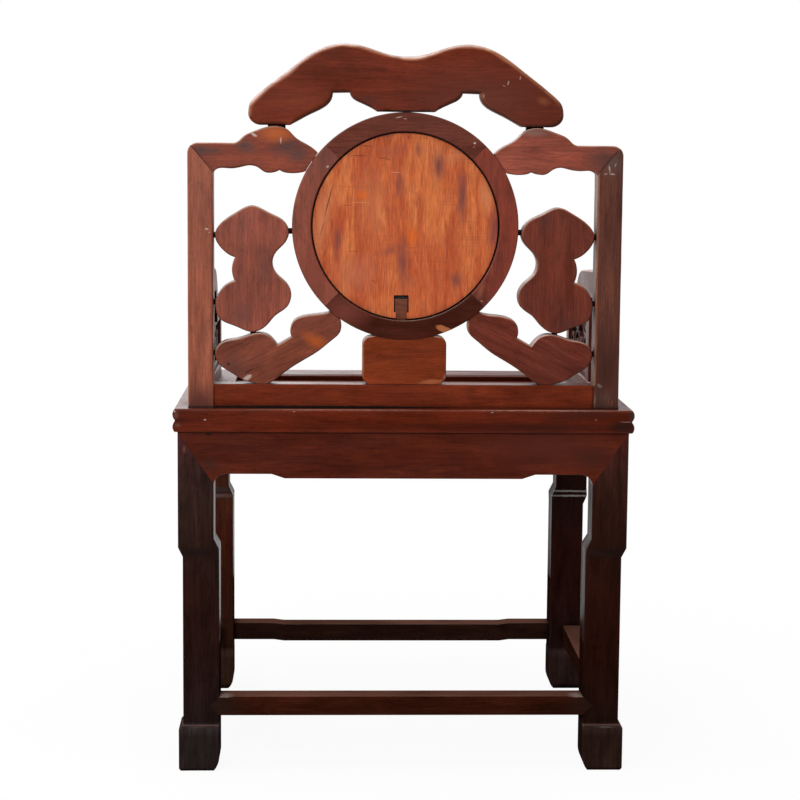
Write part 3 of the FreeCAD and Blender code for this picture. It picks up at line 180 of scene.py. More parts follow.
def maths(tree, operation, first, second=0.0):
    """One sum on numbers."""
    return add(tree, "ShaderNodeMath", {0: first, 1: second}, operation=operation).outputs[0]


def vectors(tree, operation, *values):
    """The node of one sum on vectors."""
    return add(tree, "ShaderNodeVectorMath", dict(enumerate(values)), operation=operation)


def span(tree, value, low, high, start=0.0, end=1.0):
    """A value mapped from one range to another and clamped."""
    sockets = {"Value": value, "From Min": low, "From Max": high, "To Min": start, "To Max": end}
    return add(tree, "ShaderNodeMapRange", sockets, clamp=True).outputs[0]


# How far apart the grain of two pieces can lie, in metres
PIECE_SHIFT = 7.0


def grain_space(tree, turn):
    """Coordinates with their x along the grain, and moved for each piece."""
    piece = add(tree, "ShaderNodeObjectInfo").outputs["Random"]
    shift = maths(tree, "MULTIPLY", piece, PIECE_SHIFT)
    moved = vectors(tree, "ADD", coordinates(tree, "Object"), shift)
    turned = add(tree, "ShaderNodeMapping", {"Vector": moved.outputs[0], "Rotation": turn})
    return turned.outputs["Vector"]


def stretched(tree, vector, along, across):
    """Coordinates scaled along and across the grain."""
    return add(
        tree, "ShaderNodeMapping", {"Vector": vector, "Scale": (along, across, across)}
    ).outputs["Vector"]


def edge_mask(tree, radius):
    """How sharply the surface turns nearby, from 0 on a flat to 1 on an arris."""
    turned = add(tree, "ShaderNodeBevel", {"Radius": radius}, samples=6).outputs["Normal"]
    own = add(tree, "ShaderNodeNewGeometry").outputs["Normal"]
    return span(tree, vectors(tree, "DOT_PRODUCT", turned, own).outputs["Value"], 1.0, 0.86)


def shade_and_joint_dark(tree, colour, reach, samples, share, stops):
    """A colour darkened where another surface stands within reach: painted shade in corners and
    recesses, dark lines in tight joints.
    """
    near = add(tree, "ShaderNodeAmbientOcclusion", {"Distance": reach}, samples=samples).outputs["AO"]
    return blend(tree, "MULTIPLY", share, colour, ramp(tree, near, stops))


def surface(tree, sockets):
    """The shader of a material and its output."""
    shader = add(tree, "ShaderNodeBsdfPrincipled", sockets)
    add(tree, "ShaderNodeOutputMaterial", {"Surface": shader.outputs["BSDF"]})


def marked(tree, colour, marks, ragged, vector):
    """Spots of wear and dirt, and of painted highlights and shade: ellipsoids in millimetres, tilted in
    the back's plane, ragged.
    """
    edges = add(tree, "ShaderNodeTexNoise", {"Vector": vector, "Scale": 1.0, "Detail": 3.0})
    sockets = {0: edges.outputs["Color"], "Scale": ragged * MM}
    shift = add(tree, "ShaderNodeVectorMath", sockets, operation="SCALE")
    moved = vectors(tree, "ADD", coordinates(tree, "Object"), shift.outputs[0])
    for centre, reach, tilt, paint, share, soft in marks:
        settings = {
            "Vector": moved.outputs[0],
            "Location": tuple((middle + ragged / 2) * MM for middle in centre),
            "Rotation": (0, math.radians(-tilt), 0),
            "Scale": tuple(size * MM for size in reach),
        }
        spot = add(tree, "ShaderNodeMapping", settings, vector_type="TEXTURE")
        away = vectors(tree, "LENGTH", spot.outputs[0])
        shown = span(tree, away.outputs["Value"], 1.0, 1.0 - soft, 0.0, share)
        colour = blend(tree, "MIX", shown, colour, paint)
    return colour


# The legs' colour by height, with painted light: a painted highlight on the foot's rim, darkest above
# it, lighter and redder towards the top.
# Its places are shares of SHADE_SPAN, a height in metres
SHADE_SPAN = 0.8
LEG_TONE_AND_PAINTED_LIGHT = [
    (0.062, (0.26, 0.57, 0.55)),
    (0.073, (0.40, 0.93, 1.0)),
    (0.080, (0.40, 0.93, 1.0)),
    (0.086, (0.17, 0.30, 0.28)),
    (0.31, (0.275, 0.262, 0.185)),
    (0.40, (0.30, 0.39, 0.29)),
    (0.47, (0.36, 0.53, 0.42)),
    (0.525, (0.52, 0.74, 0.64)),
    (0.56, (0.76, 0.92, 0.88)),
    (0.59, (0.98, 1.0, 1.0)),
]

# The legs are dull below these heights, in metres, and on faces turned to the sitter's left
DULL_LOW = 0.18
DULL_HIGH = 0.27
LEFT_LOW = 0.7
LEFT_HIGH = 0.95
LEFT_GLOSS_SHARE = 0.2

# The side from which light is painted on arrises: painted highlights on those turned to it, painted
# shade on those turned away
LIGHT_SIDE = (0.45, 0, 0.89)

# How far the painted shade of a corner, the dark line of a seam and the painted shadow along the board's
# edge reach, and how wide a rubbed arris is
CORNER_REACH = 12 * MM
SEAM_REACH = 0.6 * MM
BOARD_REACH = 10 * MM
ARRIS_REACH = 3 * MM

# Depths of the relief that is only shaded
GRAIN_DEPTH = 0.25 * MM
DENT_DEPTH = 1.5 * MM
BOARD_DEPTH = 0.3 * MM

TURNS = {
    "x": (0, 0, 0),
    "y": (0, 0, math.pi / 2),
    "z": (0, math.pi / 2, 0),
    "rise": (0, math.radians(-26), 0),
    "fall": (0, math.radians(26), 0),
}


def hardwood(name, grain, dark, light, wear_and_highlight, arris_highlight, gloss, rough, dusty, figure):
    """Polished hardwood: soft bands, smoky mottles, fine vessels, rubbed arrises with painted highlights
    and painted shade, and painted shade in corners.
    """
    material, tree = new_material(name)
    space = grain_space(tree, TURNS[grain])
    bands = noise(tree, stretched(tree, space, 9, 75), 1.0, 4, 0.6, 0.5)
    mottles = noise(tree, stretched(tree, space, 20, 42), 1.0, 4, 0.6, 0.8)
    tones = noise(tree, stretched(tree, space, 6, 11), 1.0, 2, 0.5)
    fine = noise(tree, stretched(tree, space, 22, 620), 1.0, 3, 0.6)
    vessels = noise(tree, stretched(tree, space, 110, 1500), 1.0, 2, 0.5)
    middle = tuple((a + b) / 2 for a, b in zip(dark, light))
    wide = 0.17 / figure
    colour = ramp(tree, bands, [(0.5 - wide, dark), (0.5, middle), (0.5 + wide, light)])
    # Each piece's own tone, with painted light in it
    tint = add(tree, "ShaderNodeObjectInfo").outputs["Color"]
    colour = blend(tree, "MULTIPLY", 1.0, colour, tint)
    colour = blend(tree, "MULTIPLY", 0.8, colour, ramp(tree, tones, [(0.3, 0.72), (0.7, 1.2)]))
    smoke = span(tree, mottles, 0.52, 0.70, 0.0, 0.62 * figure)
    colour = blend(tree, "MULTIPLY", smoke, colour, (0.34, 0.36, 0.40))
    glow = span(tree, mottles, 0.44, 0.30, 0.0, 0.5 * figure)
    colour = blend(tree, "MULTIPLY", glow, colour, (1.75, 1.45, 1.15))
    colour = blend(tree, "MULTIPLY", 0.6, colour, ramp(tree, fine, [(0.34, 0.6), (0.62, 1.15)]))
    colour = blend(tree, "MULTIPLY", 0.7, colour, ramp(tree, vessels, [(0.34, 0.5), (0.44, 1.0)]))
    normal = coordinates(tree, "Normal")
    sides = parts_of(tree, normal)
    if name.startswith("leg"):
        height = parts_of(tree, coordinates(tree, "Object"))["Z"]
        # Painted light and shade on the legs by height
        shade = ramp(tree, maths(tree, "MULTIPLY", height, 1 / SHADE_SPAN), LEG_TONE_AND_PAINTED_LIGHT)
        colour = blend(tree, "MULTIPLY", 1.0, colour, shade)
        gloss = span(tree, height, DULL_LOW, DULL_HIGH, 0.0, gloss)
        left = span(tree, sides["X"], LEFT_LOW, LEFT_HIGH, 1.0, LEFT_GLOSS_SHARE)
        gloss = maths(tree, "MULTIPLY", gloss, left)
    if dusty:
        upward = span(tree, sides["Z"], 0.75, 0.97)
        patchy = span(tree, tones, 0.3, 0.6, 0.4 * dusty, dusty)
        dust = maths(tree, "MULTIPLY", upward, patchy)
        colour = blend(tree, "MIX", dust, colour, (0.20, 0.088, 0.062))
    colour = marked(tree, colour, MARKS.get(name, []), 2.4, stretched(tree, space, 150, 240))
    # Painted shade in corners and recesses, then dark lines in the tight joints
    colour = shade_and_joint_dark(tree, colour, CORNER_REACH, 6, 0.9, [(0.35, 0.2), (0.8, 1.0)])
    colour = shade_and_joint_dark(tree, colour, SEAM_REACH, 4, 0.9, [(0.55, 0.1), (0.9, 1.0)])
    rubbed = add(tree, "ShaderNodeAttribute", attribute_name="rubbed").outputs["Fac"]
    rounded = add(tree, "ShaderNodeAttribute", attribute_name="rounded").outputs["Fac"]
    bevelled = maths(tree, "MULTIPLY", edge_mask(tree, ARRIS_REACH), rubbed)
    arris = maths(tree, "MAXIMUM", bevelled, rounded)
    # Painted light on the arrises: the rubbed colour shows most where an arris is turned to the light, a
    # painted highlight lies on those turned to it and painted shade on those turned away
    lit = vectors(tree, "DOT_PRODUCT", normal, LIGHT_SIDE).outputs["Value"]
    patchy = maths(tree, "MULTIPLY", arris, span(tree, mottles, 0.40, 0.60, 0.4, 0.9))
    shown = maths(tree, "MULTIPLY", patchy, span(tree, lit, 0.0, 0.4, 0.1, 1.0))
    colour = blend(tree, "MIX", shown, colour, wear_and_highlight)
    pale = maths(tree, "MULTIPLY", patchy, span(tree, lit, 0.38, 0.72, 0.0, 1.0))
    colour = blend(tree, "MIX", pale, colour, arris_highlight)
    shaded = maths(tree, "MULTIPLY", arris, span(tree, lit, -0.1, -0.6, 0.0, 0.7))
    colour = blend(tree, "MULTIPLY", shaded, colour, (0.25, 0.22, 0.20))
    smear = noise(tree, stretched(tree, space, 9, 30), 1.0, 4, 0.6)
    polish = span(tree, smear, 0.35, 0.7, rough - 0.06, rough + 0.14)
    if dusty:
        polish = maths(tree, "ADD", polish, maths(tree, "MULTIPLY", dust, 0.25))
    open_grain = maths(tree, "MULTIPLY", vessels, 0.6)
    relief = maths(tree, "ADD", open_grain, maths(tree, "MULTIPLY", fine, 0.5))
    bump = add(tree, "ShaderNodeBump", {"Height": relief, "Strength": 0.3, "Distance": GRAIN_DEPTH})
    sockets = {
        "Height": mottles,
        "Strength": 0.25,
        "Distance": DENT_DEPTH,
        "Normal": bump.outputs["Normal"],
    }
    dents = add(tree, "ShaderNodeBump", sockets)
    sockets = {
        "Base Color": colour,
        "Roughness": polish,
        "Specular IOR Level": gloss,
        "Specular Tint": (1.0, 0.86, 0.84, 1),
        "Normal": dents.outputs["Normal"],
    }
    surface(tree, sockets)
    return material


PLUM = (0.165, 0.048, 0.044)
RUSSET = (0.44, 0.070, 0.023)
GOLD = (0.68, 0.20, 0.050)
EMBER = (0.68, 0.12, 0.012)
BUFF = (0.63, 0.22, 0.092)
CRACK = (0.080, 0.022, 0.014)

# The board's tones, and its stains and scratches in the columns of the marks of age below

BOARD_TONES = [(0.36, (0.48, 0.090, 0.028)), (0.5, (0.57, 0.126, 0.038)), (0.64, (0.68, 0.19, 0.058))]

BOARD_STAINS = [
    ((44, 226, 790), (28, 90, 66), 0, BUFF, 0.35, 0.9),
    ((66, 226, 692), (41, 90, 34), 0, (0.46, 0.14, 0.075), 0.55, 0.9),
    ((-50, 226, 700), (41, 90, 51), 0, RUSSET, 0.45, 0.9),
    ((90, 226, 766), (12, 90, 29), 0, RUSSET, 0.55, 0.9),
    ((114, 226, 762), (14, 90, 66), 10, BUFF, 0.7, 0.9),
    ((-33, 226, 788), (12, 90, 53), 0, GOLD, 0.6, 0.9),
    ((-110, 226, 800), (15, 90, 34), 0, BUFF, 0.6, 0.9),
    ((-68, 226, 852), (21, 90, 12), -30, BUFF, 0.55, 0.9),
    ((60, 226, 798), (11, 90, 11), 0, EMBER, 0.7, 0.9),
    ((-10, 226, 742), (11, 90, 20), -3, EMBER, 0.8, 0.9),
    ((22, 226, 856), (21, 90, 12), 0, (0.34, 0.078, 0.042), 0.6, 0.9),
    ((8, 226, 812), (8, 90, 19), 0, PLUM, 0.65, 0.9),
    ((-45, 226, 838), (12, 90, 26), 6, PLUM, 0.9, 0.85),
    ((-77, 226, 796), (9, 90, 46), 2, PLUM, 0.85, 0.85),
    ((-121, 226, 752), (12, 90, 42), 0, PLUM, 0.75, 0.9),
    ((3, 226, 708), (11, 90, 40), 0, PLUM, 0.8, 0.9),
    ((92, 226, 734), (9, 90, 29), 4, PLUM, 0.65, 0.9),
    ((22, 226, 722), (19, 90, 10), -20, PLUM, 0.55, 0.9),
    ((-70, 226, 683), (12, 90, 16), 0, PLUM, 0.75, 0.85),
    ((-17, 226, 860), (5, 90, 14), 0, PLUM, 0.6, 0.9),
]

BOARD_SCRATCHES = [
    ((63, 226, 851), (15, 5, 0.9), 0, CRACK, 0.8, 0.5),
    ((30, 226, 848), (9, 5, 0.9), -3, CRACK, 0.65, 0.5),
    ((54, 226, 864), (12, 5, 0.8), 1, CRACK, 0.7, 0.5),
    ((24, 226, 846), (6, 5, 0.8), 6, CRACK, 0.7, 0.5),
    ((27, 226, 878), (15, 5, 1.1), -1, (0.15, 0.05, 0.045), 0.7, 0.5),
    ((78, 226, 784), (9, 5, 0.7), 0, CRACK, 0.6, 0.5),
    ((70, 226, 722), (11, 5, 0.8), -4, CRACK, 0.6, 0.5),
    ((43, 226, 681), (6, 5, 0.9), 40, CRACK, 0.6, 0.5),
    ((13, 226, 829), (11, 5, 0.7), 0, (0.74, 0.36, 0.22), 0.6, 0.5),
    ((62, 226, 788), (18, 5, 0.7), 1, (0.74, 0.32, 0.18), 0.5, 0.5),
    ((104, 226, 791), (1.3, 5, 32), 15, CRACK, 0.8, 0.5),
    ((113, 226, 752), (1.1, 5, 16), 16, CRACK, 0.6, 0.5),
    ((109, 226, 719), (1.1, 5, 13), 22, CRACK, 0.6, 0.5),
    ((-3, 226, 876), (2.0, 5, 1.4), 0, (0.10, 0.016, 0.012), 0.85, 0.5),
    ((-22, 226, 702), (1.3, 5, 28), 0, (0.24, 0.034, 0.015), 0.6, 0.7),
    ((-41, 226, 694), (1.4, 5, 30), 0, (0.24, 0.034, 0.015), 0.6, 0.7),
    ((-57, 226, 724), (1.2, 5, 24), 0, (0.24, 0.034, 0.015), 0.5, 0.7),
    ((-27, 226, 768), (1.2, 5, 26), 0, (0.30, 0.044, 0.018), 0.5, 0.7),
]


def bare_board(name):
    """The backing board: bare orange wood, streaked up and down, with stains and scratches."""
    material, tree = new_material(name)
    space = grain_space(tree, TURNS["z"])
    broad = noise(tree, stretched(tree, space, 9, 44), 1.0, 4, 0.6, 0.7)
    streaks = noise(tree, stretched(tree, space, 24, 170), 1.0, 4, 0.65, 0.4)
    fine = noise(tree, stretched(tree, space, 60, 620), 1.0, 3, 0.6)
    colour = ramp(tree, broad, BOARD_TONES)
    red = span(tree, streaks, 0.48, 0.64, 0.0, 0.5)
    colour = blend(tree, "MULTIPLY", red, colour, (0.68, 0.46, 0.42))
    colour = blend(tree, "MULTIPLY", 0.8, colour, ramp(tree, fine, [(0.3, 0.6), (0.62, 1.15)]))
    stain = noise(tree, stretched(tree, space, 26, 90), 1.0, 4, 0.65, 0.5)
    stained = span(tree, stain, 0.55, 0.70, 0.0, 0.45)
    colour = blend(tree, "MIX", stained, colour, (0.30, 0.075, 0.050))
    colour = marked(tree, colour, BOARD_STAINS, 11, stretched(tree, space, 26, 170))
    cross = noise(tree, stretched(tree, space, 420, 9), 1.0, 2, 0.5)
    crossed = noise(tree, space, 16.0, 3, 0.5)
    sawn = maths(tree, "MULTIPLY", span(tree, cross, 0.56, 0.66), span(tree, crossed, 0.45, 0.62))
    colour = blend(tree, "MIX", maths(tree, "MULTIPLY", sawn, 0.4), colour, (0.30, 0.07, 0.035))
    colour = marked(tree, colour, BOARD_SCRATCHES, 2.2, stretched(tree, space, 120, 240))
    # Painted shadow of the ring along the board's edge
    colour = shade_and_joint_dark(tree, colour, BOARD_REACH, 6, 1.0, [(0.5, 0.02), (0.68, 0.6), (0.84, 1.0)])
    bump = add(tree, "ShaderNodeBump", {"Height": fine, "Strength": 0.4, "Distance": BOARD_DEPTH})
    sockets = {
        "Base Color": colour,
        "Roughness": span(tree, broad, 0.3, 0.7, 0.5, 0.65),
        "Specular IOR Level": 0.15,
        "Normal": bump.outputs["Normal"],
    }
    surface(tree, sockets)
    return material


def marble(name):
    """A polished pale stone with soft grey and warm veins, and painted shade on its hidden back."""
    material, tree = new_material(name)
    place = coordinates(tree, "Object")
    slow = noise(tree, place, 9.0, 6, 0.6, 1.2)
    veins = noise(tree, place, 5.5, 8, 0.66, 2.6)
    line = maths(tree, "ABSOLUTE", maths(tree, "SUBTRACT", veins, 0.5))
    colour = ramp(tree, slow, [(0.35, (0.60, 0.59, 0.55)), (0.65, (0.83, 0.82, 0.78))])
    vein = span(tree, line, 0.0, 0.035, 0.75, 0.0)
    colour = blend(tree, "MIX", vein, colour, (0.22, 0.23, 0.23))
    warm = span(tree, noise(tree, place, 12.0, 4, 0.6, 1.0), 0.58, 0.72, 0.0, 0.5)
    colour = blend(tree, "MIX", warm, colour, (0.55, 0.43, 0.28))
    # Painted shade on the faces turned towards the board
    rear = span(tree, parts_of(tree, coordinates(tree, "Normal"))["Y"], 0.3, 0.8, 0.0, 0.95)
    colour = blend(tree, "MIX", rear, colour, (0.020, 0.012, 0.009))
    surface(tree, {"Base Color": colour, "Roughness": 0.16, "Specular IOR Level": 0.4})
    return material


# Marks of age, with painted highlights and shade among them: centre, reach, tilt in degrees, colour,
# share and softness, in millimetres

PALE = (0.55, 0.42, 0.36)
DUSTY = (0.26, 0.20, 0.17)
BARE = (0.40, 0.13, 0.05)
SMOKY = (0.050, 0.030, 0.028)
# Near black, for dark joint lines and for painted shade
DARK_JOINT_AND_SHADE = (0.008, 0.006, 0.005)
AMBER = (0.44, 0.085, 0.008)

MARKS = {
    "frame_wood_x": [
        ((176, 232, 880), (34, 9, 16), 0, AMBER, 0.85, 0.8),
        ((218, 232, 863), (20, 20, 12), 20, SMOKY, 0.8, 0.9),
        ((162, 232, 862), (26, 20, 13), -25, SMOKY, 0.65, 0.9),
        ((146, 232, 852), (20, 20, 14), 0, SMOKY, 0.75, 0.9),
        ((276, 232, 857), (18, 20, 9), 0, SMOKY, 0.85, 0.9),
        ((258, 232, 856), (12, 20, 7), 0, SMOKY, 0.6, 0.9),
        ((206, 232, 878), (6, 3, 2), 27, PALE, 0.8, 0.4),
        ((169, 232, 871), (1.3, 3, 5.5), 5, PALE, 0.7, 0.5),
        ((-172, 232, 884), (30, 8, 7), 0, DUSTY, 0.35, 0.8),
        ((-270, 232, 849), (36, 20, 30), 45, (0.080, 0.033, 0.027), 0.75, 0.9),
    ],
    "crest_wood_x": [
        # Painted shade on the ring's inner wall, around the board
        ((0, 226, 756), (129.4, 4000, 129.4), 0, DARK_JOINT_AND_SHADE, 0.85, 0.02),
        ((-110, 234, 930), (150, 60, 60), 0, (0.112, 0.034, 0.026), 0.6, 0.9),
        ((50, 234, 925), (30, 60, 14), 0, (0.070, 0.022, 0.017), 0.6, 0.9),
        ((140, 234, 925), (60, 60, 30), 0, (0.200, 0.042, 0.018), 0.4, 0.9),
        ((82, 233, 640), (46, 60, 34), 0, (0.165, 0.040, 0.027), 0.9, 0.9),
        ((12, 233, 911), (36, 8, 1.9), 0, DARK_JOINT_AND_SHADE, 0.9, 0.5),
        ((10, 233, 903), (6, 3, 1.1), -12, PALE, 0.55, 0.5),
        ((2, 233, 901), (3, 3, 0.9), 15, PALE, 0.45, 0.5),
        ((-93, 233, 869), (2.0, 3, 1.7), 0, PALE, 0.9, 0.4),
        ((-92, 233, 864), (1.4, 3, 1.2), 0, BARE, 0.8, 0.4),
        ((-55, 233, 616), (15, 8, 5), 22, BARE, 0.95, 0.3),
        ((-153, 234, 957), (1.0, 3, 3.4), 5, PALE, 0.5, 0.5),
        ((-137, 234, 950), (1.2, 3, 4), 15, PALE, 0.5, 0.5),
        ((-131, 234, 946), (2.4, 3, 0.8), 40, PALE, 0.45, 0.5),
        ((-104, 234, 932), (1.6, 3, 3.5), 10, DUSTY, 0.7, 0.5),
        ((-185, 234, 926), (12, 30, 7), 10, BARE, 0.3, 0.9),
        ((-38, 232, 544), (22, 4, 4), -4, BARE, 0.6, 0.6),
        ((-57, 232, 548), (4, 6, 9), 0, PALE, 0.35, 0.7),
    ],
    "frame_wood_z": [
        # Painted shade on the ring's inner wall, around the board
        ((0, 226, 756), (129.4, 4000, 129.4), 0, DARK_JOINT_AND_SHADE, 0.85, 0.02),
        ((104, 233, 852), (30, 60, 30), 0, (0.115, 0.032, 0.023), 0.75, 0.9),
        ((124, 233, 690), (30, 60, 44), 0, (0.230, 0.045, 0.026), 0.6, 0.9),
        ((222, 232, 634), (22, 60, 26), 0, (0.130, 0.044, 0.036), 0.7, 0.9),
        ((230, 232, 592), (18, 60, 18), 0, (0.290, 0.078, 0.044), 0.6, 0.9),
        ((-222, 232, 624), (24, 60, 14), 0, (0.060, 0.017, 0.012), 0.6, 0.9),
        # Painted sheen high on the right back post
        ((-280, 237, 846), (20, 6, 26), 0, (0.110, 0.072, 0.062), 0.55, 0.9),
        ((-276, 237, 836), (1.5, 3, 6), -8, PALE, 0.6, 0.5),
        ((-280, 237, 829), (5, 3, 1.3), 5, PALE, 0.55, 0.5),
        ((-271, 237, 829), (3, 3, 1.2), -10, PALE, 0.55, 0.5),
        ((-284, 237, 841), (1.2, 3, 4), 20, PALE, 0.4, 0.5),
        ((278, 237, 512), (34, 40, 34), 0, (0.105, 0.024, 0.015), 0.9, 0.7),
        ((278, 237, 508.5), (60, 40, 1.9), 0, DARK_JOINT_AND_SHADE, 0.9, 0.5),
        ((-278, 237, 508.5), (60, 40, 1.9), 0, DARK_JOINT_AND_SHADE, 0.9, 0.5),
        ((-281, 237, 519), (1.0, 3, 8), 10, (0.30, 0.10, 0.05), 0.7, 0.6),
        ((-286, 237, 516), (1.4, 3, 7), 14, (0.34, 0.12, 0.06), 0.7, 0.6),
        ((-100, 233, 654), (26, 60, 26), 0, (0.066, 0.020, 0.015), 0.7, 0.9),
        ((-276, 237, 524), (13, 4, 16), 0, DUSTY, 0.22, 0.9),
        ((-268, 237, 540), (5, 3, 3), 30, PALE, 0.5, 0.6),
        ((-262, 237, 521), (1.5, 5, 13), 0, DUSTY, 0.75, 0.6),
        ((-278, 237, 560), (40, 40, 110), 0, (0.040, 0.013, 0.009), 0.8, 0.9),
        ((269, 237, 751), (3.4, 3, 1.3), 10, PALE, 0.8, 0.5),
        ((266, 237, 746), (1.6, 3, 1.0), 0, PALE, 0.5, 0.5),
        ((106, 233, 836), (2.4, 3, 1.5), 0, PALE, 0.7, 0.5),
        ((-90, 233, 651), (13, 3, 0.8), -6, PALE, 0.6, 0.6),
        ((-105, 233, 655), (3, 3, 1.0), 10, BARE, 0.8, 0.5),
        ((-104, 233, 670), (5, 5, 16), 20, BARE, 0.3, 0.8),
        ((222, 232, 760), (9, 6, 26), 0, SMOKY, 0.45, 0.9),
        ((190, 232, 700), (12, 6, 30), 0, SMOKY, 0.35, 0.9),
        ((-190, 232, 770), (14, 6, 30), 0, SMOKY, 0.35, 0.9),
    ],
    "frame_wood_rise": [
        ((232, 232, 560), (24, 60, 30), 0, (0.090, 0.030, 0.022), 0.7, 0.9),
        ((215, 232, 548), (9, 7, 3.6), -32, PALE, 0.75, 0.4),
        ((212, 232, 558), (8, 4, 1.0), -28, DARK_JOINT_AND_SHADE, 0.95, 0.4),
        ((240, 232, 567), (2.2, 4, 2.2), 0, DARK_JOINT_AND_SHADE, 0.9, 0.4),
        ((122, 232, 600), (26, 8, 12), 26, AMBER, 0.7, 0.8),
    ],
    "seat_wood_x": [
        # Painted shade on the lower part of the rail's back face
        ((-190, 256, 484), (200, 40, 11), 0, (0.030, 0.0066, 0.0040), 0.85, 0.9),
        ((0, 256, 484), (260, 40, 8), 0, (0.050, 0.0085, 0.0042), 0.5, 0.9),
        ((-250, 256, 503), (70, 40, 9), 0, (0.044, 0.014, 0.010), 0.6, 0.9),
        ((-120, 256, 503), (16, 40, 7), 0, (0.050, 0.011, 0.006), 0.6, 0.9),
        ((-200, 247, 455), (120, 12, 40), 0, (0.086, 0.020, 0.013), 0.7, 0.9),
        ((266, 249, 473), (6, 4, 2.4), 5, DARK_JOINT_AND_SHADE, 0.9, 0.5),
        ((271, 256, 493), (2.4, 3, 1.1), 0, PALE, 0.7, 0.5),
        ((150, 256, 505), (2.0, 3, 0.8), 0, PALE, 0.6, 0.5),
        ((-120, 256, 505), (2.6, 3, 0.8), 0, PALE, 0.6, 0.5),
        ((-262, 256, 495), (2.2, 3, 1.0), 0, PALE, 0.5, 0.5),
        # The left end of the beads: painted highlights on the rounded bead ends, painted shade in the
        # groove between them and a painted glint at the top
        ((310, 256, 500), (5, 40, 7), 0, (0.160, 0.080, 0.064), 0.55, 0.9),
        ((308, 256, 486), (6, 40, 4), 0, (0.150, 0.074, 0.060), 0.6, 0.9),
        ((306, 256, 492.8), (10, 40, 1.2), 0, DARK_JOINT_AND_SHADE, 0.8, 0.6),
        ((312, 256, 505), (1.6, 40, 1.6), 0, PALE, 0.8, 0.5),
        ((-300, 256, 486), (26, 40, 12), 0, (0.020, 0.009, 0.007), 0.85, 0.8),
        ((-230, 256, 500), (110, 40, 10), 0, (0.050, 0.0095, 0.0048), 0.6, 0.9),
        ((-311, 256, 500), (5, 40, 12), 0, (0.040, 0.022, 0.019), 0.8, 0.7),
        ((-303, 256, 492.4), (10, 40, 0.7), 0, (0.26, 0.16, 0.13), 0.7, 0.5),
        # Painted highlight along the rail's top arris
        ((90, 256, 507.8), (180, 8, 1.2), 0, (0.30, 0.150, 0.110), 0.7, 0.6),
        ((-190, 256, 507.8), (150, 8, 1.3), 0, (0.34, 0.200, 0.165), 0.75, 0.6),
        ((130, 237, 509), (230, 14, 1.9), 0, DARK_JOINT_AND_SHADE, 0.95, 0.3),
        ((-258, 247, 440), (34, 12, 26), 0, (0.045, 0.014, 0.010), 0.7, 0.9),
        ((264, 247, 432), (17, 12, 13), 0, (0.042, 0.015, 0.011), 0.7, 0.9),
    ],
    "leg_wood_z": [
        # Painted shadow under the step of the back legs
        ((284, 252, 308), (60, 26, 11), 0, (0.010, 0.0050, 0.0043), 0.9, 0.8),
        ((-284, 252, 308), (60, 26, 11), 0, (0.010, 0.0050, 0.0043), 0.9, 0.8),
        # The front legs' step: painted light on the upward slope and the rounded band below it, a
        # painted dark line between, and painted reflections on the right leg
        ((284, -198, 323), (60, 14, 5), 0, (0.045, 0.032, 0.031), 0.75, 0.5),
        ((284, -198, 314), (60, 14, 4.5), 0, (0.130, 0.085, 0.075), 0.75, 0.6),
        ((284, -198, 318), (60, 14, 1.2), 0, DARK_JOINT_AND_SHADE, 0.8, 0.6),
        ((-284, -198, 322), (60, 14, 1.8), 0, (0.42, 0.40, 0.38), 0.8, 0.7),
        ((-284, -198, 315), (60, 14, 1.9), 0, (0.48, 0.46, 0.44), 0.85, 0.7),
        ((300, 248, 452), (3, 12, 7), 0, (0.17, 0.055, 0.030), 0.6, 0.7),
        # Painted highlight along the top edge of the back feet
        ((284, 254, 63.5), (27, 8, 2.6), 0, (0.120, 0.100, 0.092), 0.7, 0.6),
        ((-284, 254, 63), (26, 8, 3.0), 0, (0.190, 0.160, 0.148), 0.8, 0.6),
        ((-285, 254, 12), (20, 6, 8), 0, (0.050, 0.034, 0.030), 0.4, 0.9),
    ],
    "leg_wood_x": [
        ((256, 250, 92), (44, 40, 22), 0, (0.0170, 0.0092, 0.0074), 0.85, 0.85),
        ((-256, 250, 92), (36, 40, 20), 0, (0.0180, 0.0090, 0.0070), 0.7, 0.85),
        ((254, 250, 102.2), (8, 5, 0.8), -38, PALE, 0.35, 0.6),
        ((246, 235, 105), (16, 18, 2), 0, DUSTY, 0.9, 0.8),
        ((-246, 235, 105), (16, 18, 2), 0, DUSTY, 0.9, 0.8),
    ],
}

# Woods: dark and light of the grain, the colour of a rubbed arris, shown most where it faces the light,
# a painted highlight for arrises turned to the light, and their polish

FRAME_WOOD = {
    "dark": (0.100, 0.020, 0.010),
    "light": (0.215, 0.047, 0.025),
    "wear_and_highlight": (0.36, 0.13, 0.06),
    "arris_highlight": (0.50, 0.38, 0.33),
    "gloss": 0.3,
    "rough": 0.4,
    "dusty": 0.2,
    "figure": 0.62,
}
CREST_WOOD = {
    "dark": (0.100, 0.020, 0.010),
    "light": (0.215, 0.047, 0.025),
    "wear_and_highlight": (0.46, 0.19, 0.09),
    "arris_highlight": (0.74, 0.62, 0.60),
    "gloss": 0.1,
    "rough": 0.36,
    "dusty": 0.2,
    "figure": 0.52,
}
SEAT_WOOD = {
    "dark": (0.066, 0.0082, 0.0022),
    "light": (0.160, 0.0215, 0.0064),
    "wear_and_highlight": (0.25, 0.07, 0.03),
    "arris_highlight": (0.30, 0.13, 0.09),
    "gloss": 0.1,
    "rough": 0.34,
    "dusty": 0.0,
    "figure": 0.6,
}
LEG_WOOD = {
    "dark": (0.050, 0.0120, 0.0104),
    "light": (0.124, 0.0288, 0.0260),
    "wear_and_highlight": (0.078, 0.050, 0.044),
    "arris_highlight": (0.19, 0.155, 0.145),
    "gloss": 0.05,
    "rough": 0.3,
    "dusty": 0.8,
    "figure": 0.7,
}
